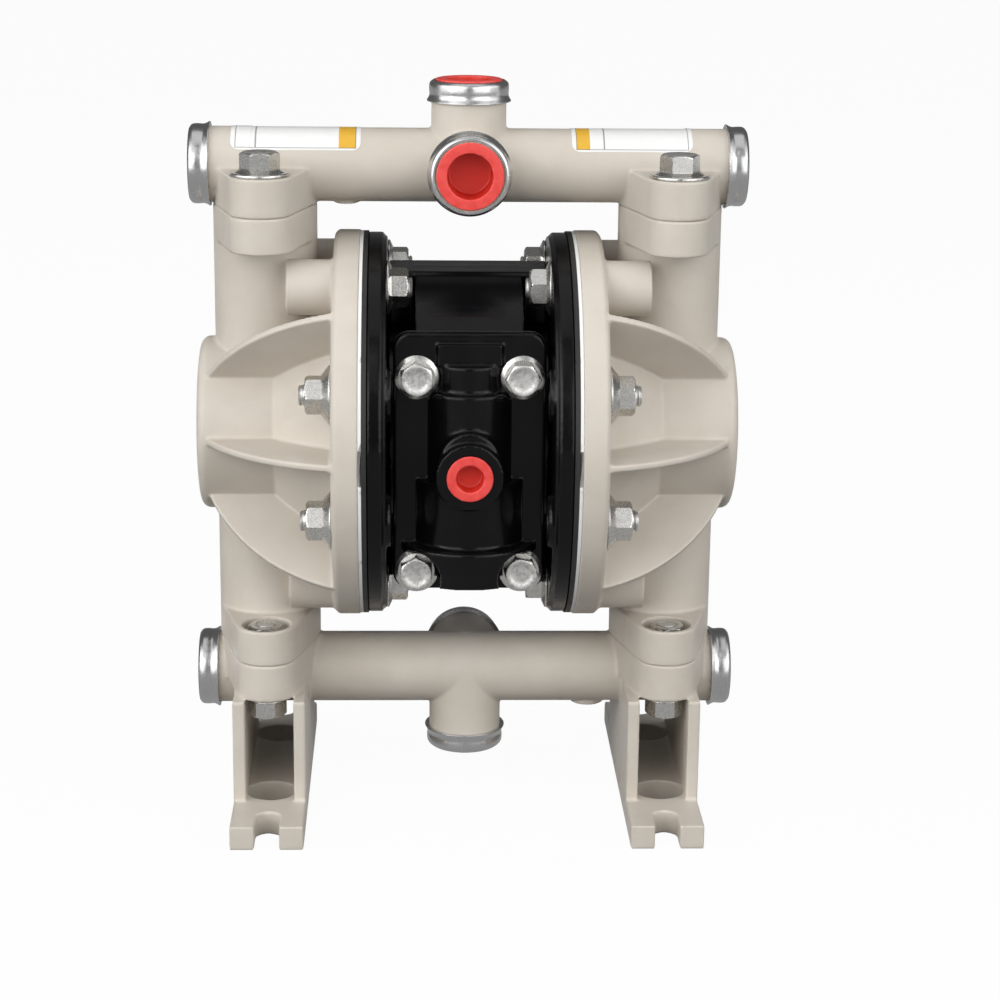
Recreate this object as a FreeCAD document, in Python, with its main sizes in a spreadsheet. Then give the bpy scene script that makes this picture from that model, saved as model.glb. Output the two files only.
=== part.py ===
"""Air operated double diaphragm pump, half inch non-metallic size, as a parametric assembly.

X runs across the pump along the diaphragm rod, Y runs to the back and Z runs up.
The origin is on the floor, under the middle of the pump. Lengths are in millimetres.
"""
import FreeCAD, Part
import Sketcher
import math
import os
import re

V = FreeCAD.Vector

SIZES = {
    # Overall layout
    "header_height": 49.2,
    "joint_clearance": 11.1,
    "joint_to_header": 14.3,
    "column_clearance": 35.8,
    "fit_clearance": 0.05,
    "seat_gap": 0.3,
    # Columns and the two-bolt ears that close on them
    "column_radius": 19.5,
    "ear_bolt_offset": 31.5,
    "ear_radius": 11.5,
    "cap_ear_height": 13.4,
    "ear_pocket_radius": 9.2,
    "ear_pocket_depth": 4.6,
    # Manifold tubes, ports and their steel bands
    "tube_radius": 13.75,
    "flow_radius": 9.0,
    "band_gap": 0.6,
    "branch_reach": 31.7,
    "port_hub_radius": 14.0,
    "thread_bore_radius": 10.3,
    "thread_depth": 13.5,
    "band_radius": 14.9,
    "band_bead_radius": 15.7,
    "band_lip_radius": 13.2,
    "band_length": 7.7,
    "band_bead_length": 1.6,
    "band_lip_thickness": 0.8,
    "upper_pad_offset": 45.8,
    "upper_pad_radius": 4.3,
    "lower_pad_offset": 48.5,
    "lower_pad_radius": 6.4,
    "pad_height": 0.7,
    # Feet
    "foot_inset": 1.1,
    "foot_width": 27.7,
    "foot_half_length": 68.5,
    "foot_base_height": 9.1,
    "foot_wall": 4.6,
    "foot_wall_half_length": 43.0,
    "foot_slot_width": 9.3,
    "foot_slot_depth": 15.3,
    "foot_hole_radius": 9.5,
    # Fluid caps
    "cap_face": 40.5,
    "cap_flange_thickness": 9.8,
    "flange_radius": 73.8,
    "flange_chamfer": 1.5,
    "cone_shoulder": 24.1,
    "cone_length": 32.0,
    "cone_bulge_radius": 90.0,
    "drum_radius": 33.0,
    "drum_length": 28.9,
    "drum_rounding": 3.5,
    "cavity_rim": 17.8,
    "cone_shoulder_wall": 4.4,
    "cone_end_wall": 3.0,
    "drum_wall": 5.0,
    "drum_end_wall": 6.5,
    "rib_thickness": 2.6,
    "rib_rim_inset": 0.8,
    "rib_drum_inset": 4.0,
    "rib_arc_radius": 70.0,
    "boss_radius": 10.3,
    "boss_length": 26.8,
    "bolt_circle_inset": 12.3,
    # Check valves
    "ball_radius": 8.0,
    "ball_seat_gap": 0.06,
    "seat_bore_radius": 6.0,
    "seat_outer_radius": 13.0,
    "seat_thickness": 4.5,
    "seal_radius": 1.0,
    "seal_ring_radius": 15.5,
    "ball_chamber_radius": 9.6,
    "ball_chamber_height": 22.0,
    "column_bore_radius": 7.6,
    # Diaphragms, plates and the rod
    "diaphragm_thickness": 1.2,
    "backup_thickness": 1.8,
    "diaphragm_inset": 0.4,
    "roll_gap": 5.0,
    "roll_width": 18.0,
    "roll_depth": 3.5,
    "pry_slot_height": 13.3,
    "pry_slot_depth": 1.6,
    "plate_gap": 5.0,
    "fluid_plate_thickness": 5.0,
    "air_plate_thickness": 4.0,
    "plate_screw_radius": 4.0,
    "plate_screw_head_radius": 7.5,
    "plate_screw_head_height": 6.0,
    "rod_radius": 7.0,
    # Air caps
    "air_flange_thickness": 7.1,
    "air_rim_inset": 0.9,
    "air_flange_chamfer": 1.6,
    "air_hub_wall": 4.5,
    "air_hub_length": 10.4,
    "air_floor_wall": 4.5,
    "air_plate_room": 4.0,
    "air_neck_flare": 6.0,
    "air_step_rise": 3.4,
    "air_boss_ring_radius": 9.6,
    "air_boss_ring_height": 1.8,
    "head_pocket_depth": 5.0,
    # Centre body
    "body_radius": 61.0,
    "body_front": 43.0,
    "body_shoulder_radius": 60.9,
    "screw_lug_radius": 6.2,
    "screw_lug_depth": 6.5,
    "bushing_radius": 9.0,
    "bushing_length": 12.0,
    "pilot_offset": 20.0,
    "pilot_radius": 3.0,
    "pilot_gap": 0.6,
    # Valve block on the front
    "gasket_thickness": 1.2,
    "block_edge_gap": 2.4,
    "block_drop": 51.9,
    "block_rise": 44.6,
    "block_plate_thickness": 4.9,
    "block_corner_radius": 6.0,
    "barrel_setback": 40.0,
    "screw_face_clearance": 0.8,
    "barrel_radius": 17.5,
    "barrel_drop": 9.8,
    "barrel_rise": 22.9,
    "neck_radius": 14.5,
    "neck_height": 10.2,
    "pad_half_width": 11.9,
    "pad_front": 51.0,
    "pad_rise": 7.7,
    "lower_barrel_radius": 21.2,
    "lower_barrel_drop": 33.9,
    "foot_band_radius": 26.0,
    "foot_band_drop": 47.6,
    "block_bolt_edge": 8.65,
    "block_bolt_drop": 44.6,
    "block_bolt_rise": 28.6,
    "air_inlet_drop": 5.8,
    "air_boss_radius": 12.4,
    "air_boss_front": 63.6,
    "air_collar_radius": 11.3,
    "air_collar_rise": 4.6,
    "air_collar_front": 60.5,
    "air_thread_radius": 6.0,
    "air_thread_depth": 7.6,
    "valve_setback": 50.3,
    "sleeve_radius": 5.2,
    "sleeve_bore_radius": 4.0,
    "sleeve_drop": 44.4,
    "sleeve_rise": 19.6,
    "spool_length": 54.0,
    "spool_neck_radius": 2.6,
    # Exhaust cover on the back
    "cover_half_width": 26.0,
    "cover_half_height": 42.0,
    "cover_thickness": 5.0,
    "cover_boss_radius": 15.0,
    "cover_boss_length": 14.0,
    "exhaust_thread_radius": 8.1,
    "exhaust_bore_radius": 6.5,
    "cover_bolt_spread": 19.0,
    "cover_bolt_rise": 33.0,
    # Fasteners
    "bolt_radius": 4.0,
    "bolt_hole_clearance": 0.3,
    "hex_radius": 7.4,
    "hex_height": 6.6,
    "washer_radius": 11.0,
    "washer_thickness": 1.6,
    "inlet_washer_radius": 7.9,
    "flange_nut_radius": 11.0,
    "nut_flange_height": 3.4,
    "boss_nut_radius": 10.0,
    "block_bolt_radius": 3.0,
    "block_bolt_hex_radius": 6.6,
    "block_bolt_hex_height": 5.0,
    "block_bolt_flange_radius": 8.2,
    "block_bolt_length": 12.4,
    "cap_hex_height": 6.0,
    "stud_end": 2.3,
    "boss_stud_end": 1.6,
    # Shipping plugs
    "plug_flange_radius": 12.4,
    "plug_flange_thickness": 1.4,
    "plug_wall": 1.9,
    "plug_depth": 12.5,
    "plug_floor": 2.0,
    "air_plug_flange_radius": 8.5,
    "air_plug_hole_radius": 5.0,
    "air_plug_depth": 7.0,
}

# Lengths that follow from the driving sizes, so that neighbours move together
FOLLOWS = {
    "joint_offset": "flange_radius + joint_clearance",
    "manifold_offset": "joint_offset + joint_to_header",
    "pump_axis_height": "header_height + manifold_offset",
    "column_offset": "cap_face + column_clearance",
    "port_reach": "column_offset + column_radius + band_gap + band_length",
    "foot_offset": "column_offset - foot_inset",
    "cone_start_radius": "flange_radius - cone_shoulder",
    "cone_end": "cap_face + cone_length",
    "drum_end": "cone_end + drum_length",
    "cavity_face_radius": "flange_radius - cavity_rim",
    "cavity_flange_radius": "cone_start_radius - cone_shoulder_wall",
    "cavity_drum_start": "cone_end - cone_end_wall",
    "cavity_drum_radius": "drum_radius - drum_wall",
    "rib_outer_radius": "flange_radius - rib_rim_inset",
    "boss_end": "cap_face + boss_length",
    "bolt_circle_radius": "flange_radius - bolt_circle_inset",
    "diaphragm_radius": "flange_radius - diaphragm_inset",
    "roll_outer_radius": "cavity_face_radius - roll_gap",
    "roll_inner_radius": "roll_outer_radius - roll_width",
    "plate_radius": "roll_inner_radius - plate_gap",
    "air_face": "cap_face - diaphragm_thickness - backup_thickness",
    "air_flange_inner": "air_face - air_flange_thickness",
    "air_flange_radius": "flange_radius - air_rim_inset",
    "air_cavity_floor_radius": "plate_radius + air_plate_room",
    "air_cavity_neck_radius": "air_cavity_floor_radius + air_neck_flare",
    "air_hub_radius": "air_cavity_neck_radius + air_hub_wall",
    "air_cavity_step": "air_flange_inner + air_step_rise",
    "body_half_width": "air_flange_inner - air_hub_length",
    "air_cavity_floor": "body_half_width + air_floor_wall",
    "pilot_half_length": "air_flange_inner - pilot_gap",
    "block_plate_half_width": "air_flange_inner - block_edge_gap",
    "block_plate_bottom": "pump_axis_height - block_drop",
    "block_plate_top": "pump_axis_height + block_rise",
    "barrel_bottom": "pump_axis_height - barrel_drop",
    "barrel_top": "pump_axis_height + barrel_rise",
    "neck_top": "barrel_top + neck_height",
    "pad_top": "neck_top + pad_rise",
    "lower_barrel_bottom": "pump_axis_height - lower_barrel_drop",
    "foot_band_bottom": "pump_axis_height - foot_band_drop",
    "block_bolt_spread": "block_plate_half_width - block_bolt_edge",
    "block_bolt_low": "pump_axis_height - block_bolt_drop",
    "block_bolt_high": "pump_axis_height + block_bolt_rise",
    "air_inlet_height": "pump_axis_height - air_inlet_drop",
    "sleeve_bottom": "pump_axis_height - sleeve_drop",
    "sleeve_top": "pump_axis_height + sleeve_rise",
}

doc = FreeCAD.newDocument("DiaphragmPump")
sheet = doc.addObject("Spreadsheet::Sheet", "sheet")
for row, (alias, value) in enumerate(SIZES.items(), start=1):
    sheet.set("A%d" % row, alias)
    sheet.set("B%d" % row, str(value))
    sheet.setAlias("B%d" % row, alias)
doc.recompute()

# Places worked out from the driving sizes
LOWER_AXIS = "(pump_axis_height - manifold_offset)"
UPPER_AXIS = "(pump_axis_height + manifold_offset)"
JOINT_TO_AXIS = "(manifold_offset - joint_offset)"
EAR_FACE = "(joint_offset - cap_ear_height)"
FLANGE_BACK = "(cap_face + cap_flange_thickness)"
AIR_FACE = "(air_face)"
BLOCK_FACE = "(body_front + gasket_thickness + block_plate_thickness)"
COVER_FACE = "(body_front + gasket_thickness + cover_thickness)"
BALL_REST = "(sqrt(ball_radius ^ 2 - seat_bore_radius ^ 2) + ball_seat_gap)"

TURNS = {
    "Z": FreeCAD.Rotation(),
    "-Z": FreeCAD.Rotation(V(1, 0, 0), 180),
    "X": FreeCAD.Rotation(V(0, 1, 0), 90),
    "-X": FreeCAD.Rotation(V(0, 1, 0), -90),
    "Y": FreeCAD.Rotation(V(1, 0, 0), -90),
    "-Y": FreeCAD.Rotation(V(1, 0, 0), 90),
}
BOSS_ANGLES = (67.5, 112.5, 247.5, 292.5)
NUT_ANGLES = (-22.5, 22.5, 157.5, 202.5)
SLAB_ANGLES = (-45, 0, 45)
SIGNS = (-1, 1)

nodes = []


def full(text):
    """Expression text in which each size name points at the sheet."""
    def point(match):
        word = match.group()
        if word in FOLLOWS:
            return "(%s)" % full(FOLLOWS[word])
        return "sheet." + word if word in SIZES else word
    return re.sub(r"[a-z_]+", point, str(text))


def number(text):
    """Present value of an expression over the sizes."""
    return float(sheet.evalExpression(full(text)))


def place(item, x="0", y="0", z="0", axis="Z"):
    """Stand an object at a point with its own Z along the named axis."""
    item.Placement = FreeCAD.Placement(V(), TURNS[axis])
    for letter, text in zip("xyz", (x, y, z)):
        item.setExpression("Placement.Base." + letter, full(text))
    return item


def cylinder(name, radius, height, x="0", y="0", z="0", axis="Z"):
    item = doc.addObject("Part::Cylinder", name)
    item.setExpression("Radius", full(radius))
    item.setExpression("Height", full(height))
    return place(item, x, y, z, axis)


def cone(name, radius, end_radius, height, x="0", y="0", z="0", axis="Z"):
    item = doc.addObject("Part::Cone", name)
    item.setExpression("Radius1", full(radius))
    item.setExpression("Radius2", full(end_radius))
    item.setExpression("Height", full(height))
    return place(item, x, y, z, axis)


def box(name, length, width, height, x="0", y="0", z="0"):
    """Block centred on x and y, standing on z."""
    item = doc.addObject("Part::Box", name)
    item.setExpression("Length", full(length))
    item.setExpression("Width", full(width))
    item.setExpression("Height", full(height))
    middle_x = "%s - (%s) / 2" % (x, length)
    middle_y = "%s - (%s) / 2" % (y, width)
    return place(item, middle_x, middle_y, z)


def hexagon(name, radius, height, x="0", y="0", z="0", axis="Z"):
    item = doc.addObject("Part::Prism", name)
    item.Polygon = 6
    item.setExpression("Circumradius", full(radius))
    item.setExpression("Height", full(height))
    return place(item, x, y, z, axis)


def fuse(name, parts):
    item = doc.addObject("Part::MultiFuse", name)
    item.Shapes = parts
    return item


def cut(name, base, tools):
    """Take every tool away from the base."""
    item = doc.addObject("Part::Cut", name)
    item.Base = base
    item.Tool = tools[0] if len(tools) == 1 else fuse(name + "_tools", tools)
    return item


def group(name, parts):
    item = doc.addObject("Part::Compound", name)
    item.Links = parts
    return item


def keep(item, label):
    """Mark an object as a sub-part of the pump."""
    item.Label = label
    nodes.append(item)
    return item


def mirrored(item, label):
    """The same sub-part on the other side of the pump's middle plane."""
    twin = doc.addObject("Part::Mirroring", label)
    twin.Source = item
    twin.Base = V(0, 0, 0)
    twin.Normal = V(1, 0, 0)
    return keep(twin, label)


def origin_plane(body, role):
    return next(plane for plane in body.Origin.OriginFeatures if plane.Role == role)


def edge_between(start, end, radius, turn):
    """A straight edge, or an arc of the given radius that turns left or right."""
    if radius is None:
        return Part.LineSegment(start, end)
    chord = end - start
    middle = (start + end) * 0.5
    normal = V(-chord.y, chord.x, 0).normalize()
    sagitta_side = 1 if turn == "left" else -1
    rise = math.sqrt(max(radius ** 2 - (chord.Length / 2) ** 2, 0))
    centre = middle + normal * (rise * sagitta_side)
    first, last = (start, end) if turn == "left" else (end, start)
    angles = [math.atan2(point.y - centre.y, point.x - centre.x) for point in (first, last)]
    circle = Part.Circle(centre, V(0, 0, 1), radius)
    return Part.ArcOfCircle(circle, angles[0], angles[1])


def outline(body, plane, corners, arcs=None, lift="0"):
    """Closed sketch through corners given as expressions, with arcs on chosen edges."""
    arcs = arcs or {}
    sketch = body.newObject("Sketcher::SketchObject", body.Name + "_sketch")
    sketch.AttachmentSupport = [(origin_plane(body, plane), "")]
    sketch.MapMode = "FlatFace"
    if lift != "0":
        sketch.setExpression("AttachmentOffset.Base.z", full(lift))
    points = [V(number(x), number(y), 0) for x, y in corners]
    ends = []
    for index, start in enumerate(points):
        radius, turn = arcs.get(index, (None, None))
        end = points[(index + 1) % len(points)]
        sketch.addGeometry(edge_between(start, end, radius and number(radius), turn), False)
        ends.append((2, 1) if turn == "right" else (1, 2))
    for index, (x, y) in enumerate(corners):
        following = (index + 1) % len(points)
        sketch.addConstraint(Sketcher.Constraint(
            "Coincident", index, ends[index][1], following, ends[following][0]))
        for kind, text, value in (("DistanceX", x, points[index].x), ("DistanceY", y, points[index].y)):
            made = sketch.addConstraint(Sketcher.Constraint(
                kind, -1, 1, index, ends[index][0], value))
            sketch.setExpression("Constraints[%d]" % made, full(text))
    for index, (radius, _) in arcs.items():
        made = sketch.addConstraint(Sketcher.Constraint("Radius", index, number(radius)))
        sketch.setExpression("Constraints[%d]" % made, full(radius))
    return sketch


def turned(name, corners, arcs=None, plane="XY_Plane", axis="H_Axis", z="0"):
    """Body turned round the sketch axis, standing at height z."""
    body = doc.addObject("PartDesign::Body", name)
    sketch = outline(body, plane, corners, arcs)
    feature = body.newObject("PartDesign::Revolution", name + "_turn")
    feature.Profile = sketch
    feature.ReferenceAxis = (sketch, [axis])
    feature.Angle = 360
    body.Tip = feature
    return place(body, z=z)


def plate(name, corners, arcs, plane, lift, thickness):
    """Body with one flat outline, thickened along the plane's normal."""
    body = doc.addObject("PartDesign::Body", name)
    sketch = outline(body, plane, corners, arcs, lift)
    feature = body.newObject("PartDesign::Pad", name + "_pad")
    feature.Profile = sketch
    feature.setExpression("Length", full(thickness))
    body.Tip = feature
    return body


def ear(name, lift, thickness):
    """Two-bolt ear: the column's circle and the two bolt circles joined by tangents."""
    slope = "asin((column_radius - ear_radius) / ear_bolt_offset)"
    wide_x = "column_radius * cos(%s)" % slope
    wide_y = "column_radius * sin(%s)" % slope
    small_x = "ear_radius * cos(%s)" % slope
    small_y = "(ear_bolt_offset + ear_radius * sin(%s))" % slope
    corners = [
        (small_x, "-" + small_y), (wide_x, "-" + wide_y),
        (wide_x, wide_y), (small_x, small_y),
        ("-" + small_x, small_y), ("-" + wide_x, wide_y),
        ("-" + wide_x, "-" + wide_y), ("-" + small_x, "-" + small_y),
    ]
    arcs = {
        1: ("column_radius", "left"), 3: ("ear_radius", "left"),
        5: ("column_radius", "left"), 7: ("ear_radius", "left"),
    }
    body = plate(name, corners, arcs, "XY_Plane", lift, thickness)
    return place(body, "-column_offset")


def bolt_circle(angle, radius="bolt_circle_radius"):
    """Y and Z expressions of a point on the cap's bolt circle."""
    y = "-%s * cos(%s)" % (radius, angle)
    z = "pump_axis_height + %s * sin(%s)" % (radius, angle)
    return y, z


def cap_screw_holes(name):
    """Eight holes that run from the middle of the pump out past the diaphragm flange."""
    holes = []
    for index, angle in enumerate(NUT_ANGLES + BOSS_ANGLES):
        y, z = bolt_circle(angle)
        holes.append(cylinder("%s_%d" % (name, index), "bolt_radius + bolt_hole_clearance",
                              "cap_face", "0", y, z, "-X"))
    return holes


def fluid_cap():
    """Ribbed cap with its valve column, ears, bolt bosses and pump chamber."""
    shell = turned("cap_shell", [
        ("-cap_face", "0"), ("-cap_face", "flange_radius"),
        ("-(%s - flange_chamfer)" % FLANGE_BACK, "flange_radius"),
        ("-" + FLANGE_BACK, "flange_radius - flange_chamfer"),
        ("-" + FLANGE_BACK, "cone_start_radius"),
        ("-cone_end", "drum_radius"), ("-(drum_end - drum_rounding)", "drum_radius"),
        ("-drum_end", "drum_radius - drum_rounding"), ("-drum_end", "0"),
    ], {4: ("cone_bulge_radius", "left"), 6: ("drum_rounding", "left")}, z="pump_axis_height")
    envelope = turned("rib_envelope", [
        ("-cap_face", "0"), ("-cap_face", "rib_outer_radius"),
        ("-" + FLANGE_BACK, "rib_outer_radius"),
        ("-(drum_end - rib_drum_inset)", "drum_radius"),
        ("-(drum_end - rib_drum_inset)", "0"),
    ], {2: ("rib_arc_radius", "left")}, z="pump_axis_height")
    slabs = []
    for index, angle in enumerate(SLAB_ANGLES):
        slab = box("rib_slab_%d" % index, "drum_end", "2 * flange_radius", "rib_thickness",
                   "-drum_end / 2")
        half = "rib_thickness / 2"
        slab.Placement = FreeCAD.Placement(V(), FreeCAD.Rotation(V(1, 0, 0), angle))
        swing = "(flange_radius * cos(%d))" % angle
        climb = "(flange_radius * sin(%d))" % angle
        slab.setExpression("Placement.Base.y", full("-%s + %s * sin(%d)" % (swing, half, angle)))
        slab.setExpression("Placement.Base.z", full(
            "pump_axis_height - %s - %s * cos(%d)" % (climb, half, angle)))
        slabs.append(slab)
    ribs = doc.addObject("Part::Common", "cap_ribs")
    ribs.Base = envelope
    ribs.Tool = fuse("rib_slabs", slabs)
    solid = [
        shell, ribs,
        cylinder("cap_column", "column_radius", "2 * joint_offset", "-column_offset",
                 z="pump_axis_height - joint_offset"),
        ear("cap_ear_top", "pump_axis_height + " + EAR_FACE, "cap_ear_height"),
        ear("cap_ear_bottom", "pump_axis_height - joint_offset", "cap_ear_height"),
    ]
    for index, angle in enumerate(BOSS_ANGLES):
        y, z = bolt_circle(angle)
        solid.append(cylinder("cap_boss_%d" % index, "boss_radius", "boss_end - cap_face",
                              "-cap_face", y, z, "-X"))
    cavity = turned("cap_cavity", [
        ("-(cap_face - seat_gap)", "0"), ("-(cap_face - seat_gap)", "cavity_face_radius"),
        ("-cap_face", "cavity_face_radius"), ("-" + FLANGE_BACK, "cavity_flange_radius"),
        ("-cavity_drum_start", "cavity_drum_radius"),
        ("-(drum_end - drum_end_wall)", "cavity_drum_radius"),
        ("-(drum_end - drum_end_wall)", "0"),
    ], z="pump_axis_height")
    bores = [
        cavity,
        cylinder("column_bore", "column_bore_radius", "2 * joint_offset", "-column_offset",
                 z="pump_axis_height - joint_offset"),
        cylinder("ball_chamber", "ball_chamber_radius", "ball_chamber_height",
                 "-column_offset", z="pump_axis_height - joint_offset"),
        cylinder("seat_recess", "seat_outer_radius + fit_clearance", "seat_thickness",
                 "-column_offset", z="pump_axis_height + joint_offset - seat_thickness"),
        seal_groove("cap_groove_top", -1, "pump_axis_height", "joint_offset"),
        seal_groove("cap_groove_bottom", -1, "pump_axis_height", "-joint_offset"),
    ]
    for index, side in enumerate(SIGNS):
        y = "%d * ear_bolt_offset" % side
        for level, (rise, axis) in enumerate(((-1, "-Z"), (1, "Z"))):
            face = "pump_axis_height + %d * %s" % (rise, EAR_FACE)
            bores.append(cylinder("ear_hole_%d%d" % (index, level),
                                  "bolt_radius + bolt_hole_clearance", "cap_ear_height",
                                  "-column_offset", y, face, axis))
            bores.append(cylinder("ear_pocket_%d%d" % (index, level), "ear_pocket_radius",
                                  "ear_pocket_depth", "-column_offset", y, face, axis))
    for index, angle in enumerate(NUT_ANGLES + BOSS_ANGLES):
        y, z = bolt_circle(angle)
        deep = "boss_end - cap_face - 4 * seat_gap" if angle in BOSS_ANGLES else "cap_flange_thickness"
        bores.append(cylinder("cap_bolt_hole_%d" % index, "bolt_radius + bolt_hole_clearance",
                              deep, "-cap_face", y, z, "-X"))
    return keep(cut("fluid_cap_left", fuse("cap_solid", solid), bores), "fluid_cap_left")


def port(name, x, y, z, axis, reach):
    """Hub of a threaded port with its bores, looking out along the axis."""
    hub = cylinder(name + "_hub", "port_hub_radius", "%s - band_lip_thickness" % reach, x, y, z, axis)
    flow = cylinder(name + "_flow", "flow_radius", reach, x, y, z, axis)
    face = {"X": (reach, "0", "0"), "-X": ("-" + reach, "0", "0"), "-Y": ("0", "-" + reach, "0"),
            "Y": ("0", reach, "0"), "Z": ("0", "0", reach), "-Z": ("0", "0", "-" + reach)}[axis]
    inward = axis[1:] if axis.startswith("-") else "-" + axis
    spot = ["%s + %s" % (base, shift) for base, shift in zip((x, y, z), face)]
    thread = cylinder(name + "_thread", "thread_bore_radius", "thread_depth + band_lip_thickness",
                      spot[0], spot[1], spot[2], inward)
    return hub, [flow, thread], spot


def band(label, spot, axis):
    """Stainless band pressed round a port, with a rolled bead behind and a lip in front."""
    body = turned(label, [
        ("port_hub_radius + fit_clearance", "-band_length"), ("band_bead_radius", "-band_length"),
        ("band_bead_radius", "band_bead_length - band_length"),
        ("band_radius", "band_bead_length - band_length"), ("band_radius", "0"),
        ("band_lip_radius", "0"), ("band_lip_radius", "-band_lip_thickness"),
        ("port_hub_radius + fit_clearance", "-band_lip_thickness"),
    ], plane="XZ_Plane", axis="V_Axis")
    place(body, spot[0], spot[1], spot[2], axis)
    return keep(body, label)


def manifold(label, height, inward, branches):
    """Header tube with two end ports, two branch ports and the four-bolt ears.

    inward is 1 where the pump lies above the tube and -1 where it lies below.
    """
    solid = [cylinder(label + "_tube", "tube_radius", "2 * (port_reach - band_length)",
                      "-(port_reach - band_length)", "0", height, "X")]
    bores = []
    for name, axis, reach in (("left", "-X", "port_reach"), ("right", "X", "port_reach")) + branches:
        start = {"-X": "-(port_reach - 3 * band_length)", "X": "(port_reach - 3 * band_length)"}
        hub, holes, spot = port("%s_%s" % (label, name), "0", "0", height, axis, reach)
        if axis in start:
            hub.setExpression("Placement.Base.x", full(start[axis]))
            hub.setExpression("Height", full("3 * band_length - band_lip_thickness"))
        solid.append(hub)
        bores += holes
        band("%s_band_%s" % (label.split("_")[0], name), spot, axis)
    joint = "%s + %d * %s" % (height, inward, JOINT_TO_AXIS)
    base = height if inward > 0 else joint
    for index, side in enumerate(SIGNS):
        lug = ear("%s_ear_%d" % (label, index), base, JOINT_TO_AXIS)
        place(lug, "%d * column_offset" % side)
        solid.append(lug)
        x = "%d * column_offset" % side
        bores.append(cylinder("%s_riser_%d" % (label, index), "ball_chamber_radius",
                              JOINT_TO_AXIS, x, "0", base))
        bores.append(seal_groove("%s_groove_%d" % (label, index), side, joint, "0"))
        for spot_index, across in enumerate(SIGNS):
            bores.append(cylinder("%s_ear_hole_%d%d" % (label, index, spot_index),
                                  "bolt_radius + bolt_hole_clearance", JOINT_TO_AXIS,
                                  x, "%d * ear_bolt_offset" % across, base))
    return solid, bores


def tube_pad(name, x, height, radius):
    """Small round pad left by moulding on the underside of a header tube."""
    reach = "(tube_radius + pad_height - flow_radius)"
    return cylinder(name, radius, reach, x, "0", "%s - flow_radius" % height, "-Z")


def outlet_manifold():
    """Upper header: ports left, right, up and to the front."""
    solid, bores = manifold("outlet_manifold", UPPER_AXIS, -1,
                            (("top", "Z", "branch_reach"), ("front", "-Y", "branch_reach")))
    solid.append(tube_pad("upper_pad", "-upper_pad_offset", UPPER_AXIS, "upper_pad_radius"))
    body = cut("outlet_manifold", fuse("outlet_solid", solid), bores)
    return keep(body, "outlet_manifold")


def inlet_manifold():
    """Lower header: ports left, right, down and to the back, standing on two feet."""
    solid, bores = manifold("inlet_manifold", LOWER_AXIS, 1,
                            (("bottom", "-Z", "branch_reach"), ("rear", "Y", "branch_reach")))
    for index, side in enumerate(SIGNS):
        x = "%d * foot_offset" % side
        solid.append(box("foot_base_%d" % index, "foot_width", "2 * foot_half_length",
                         "foot_base_height", x))
        for wall, edge in enumerate(SIGNS):
            wall_x = "%s + %d * (foot_width / 2 - foot_wall / 2)" % (x, edge)
            solid.append(box("foot_wall_%d%d" % (index, wall), "foot_wall",
                             "2 * foot_wall_half_length", LOWER_AXIS, wall_x))
        for end, across in enumerate(SIGNS):
            y = "%d * foot_half_length" % across
            bores.append(box("foot_slot_%d%d" % (index, end), "foot_slot_width",
                             "2 * foot_slot_depth - foot_slot_width", "foot_base_height", x, y))
            bores.append(cylinder("foot_slot_end_%d%d" % (index, end), "foot_slot_width / 2",
                                  "foot_base_height", x,
                                  "%s - %d * (foot_slot_depth - foot_slot_width / 2)" % (y, across)))
            bores.append(cylinder("foot_hole_%d%d" % (index, end), "foot_hole_radius",
                                  "foot_base_height", x, "%d * ear_bolt_offset" % across))
        bores.append(cylinder("inlet_seat_recess_%d" % index, "seat_outer_radius + fit_clearance",
                              "seat_thickness", "%d * column_offset" % side, "0",
                              "pump_axis_height - joint_offset - seat_thickness"))
    solid.append(tube_pad("lower_pad", "lower_pad_offset", LOWER_AXIS, "lower_pad_radius"))
    body = cut("inlet_manifold", fuse("inlet_solid", solid), bores)
    return keep(body, "inlet_manifold")


def seal_groove(name, side, joint, face):
    """Half-round groove for the seal ring of one joint face."""
    item = doc.addObject("Part::Torus", name)
    item.setExpression("Radius1", full("seal_ring_radius"))
    item.setExpression("Radius2", full("seal_radius + fit_clearance"))
    return place(item, "%d * column_offset" % side, "0", "%s + %s" % (joint, face))


def joint_seals():
    """Round seal ring in each of the four joints between the caps and the manifolds."""
    rings = []
    for index, (side, rise) in enumerate((a, b) for a in SIGNS for b in SIGNS):
        ring = doc.addObject("Part::Torus", "seal_ring_%d" % index)
        ring.setExpression("Radius1", full("seal_ring_radius"))
        ring.setExpression("Radius2", full("seal_radius"))
        place(ring, "%d * column_offset" % side, "0", "pump_axis_height + %d * joint_offset" % rise)
        rings.append(ring)
    keep(group("joint_seals", rings), "joint_seals")


def check_valve(name, side, joint):
    """Seat ring flush with its joint, and the ball that rests on its edge."""
    x = "%d * column_offset" % side
    ring = cylinder("seat_ring_" + name, "seat_outer_radius", "seat_thickness", x, "0",
                    "%s - seat_thickness" % joint)
    bore = cylinder("seat_bore_" + name, "seat_bore_radius", "seat_thickness", x, "0",
                    "%s - seat_thickness" % joint)
    keep(cut("seat_" + name, ring, [bore]), "seat_" + name)
    ball = doc.addObject("Part::Sphere", "ball_" + name)
    ball.setExpression("Radius", full("ball_radius"))
    place(ball, x, "0", "%s + %s" % (joint, BALL_REST))
    keep(ball, "ball_" + name)


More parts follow.
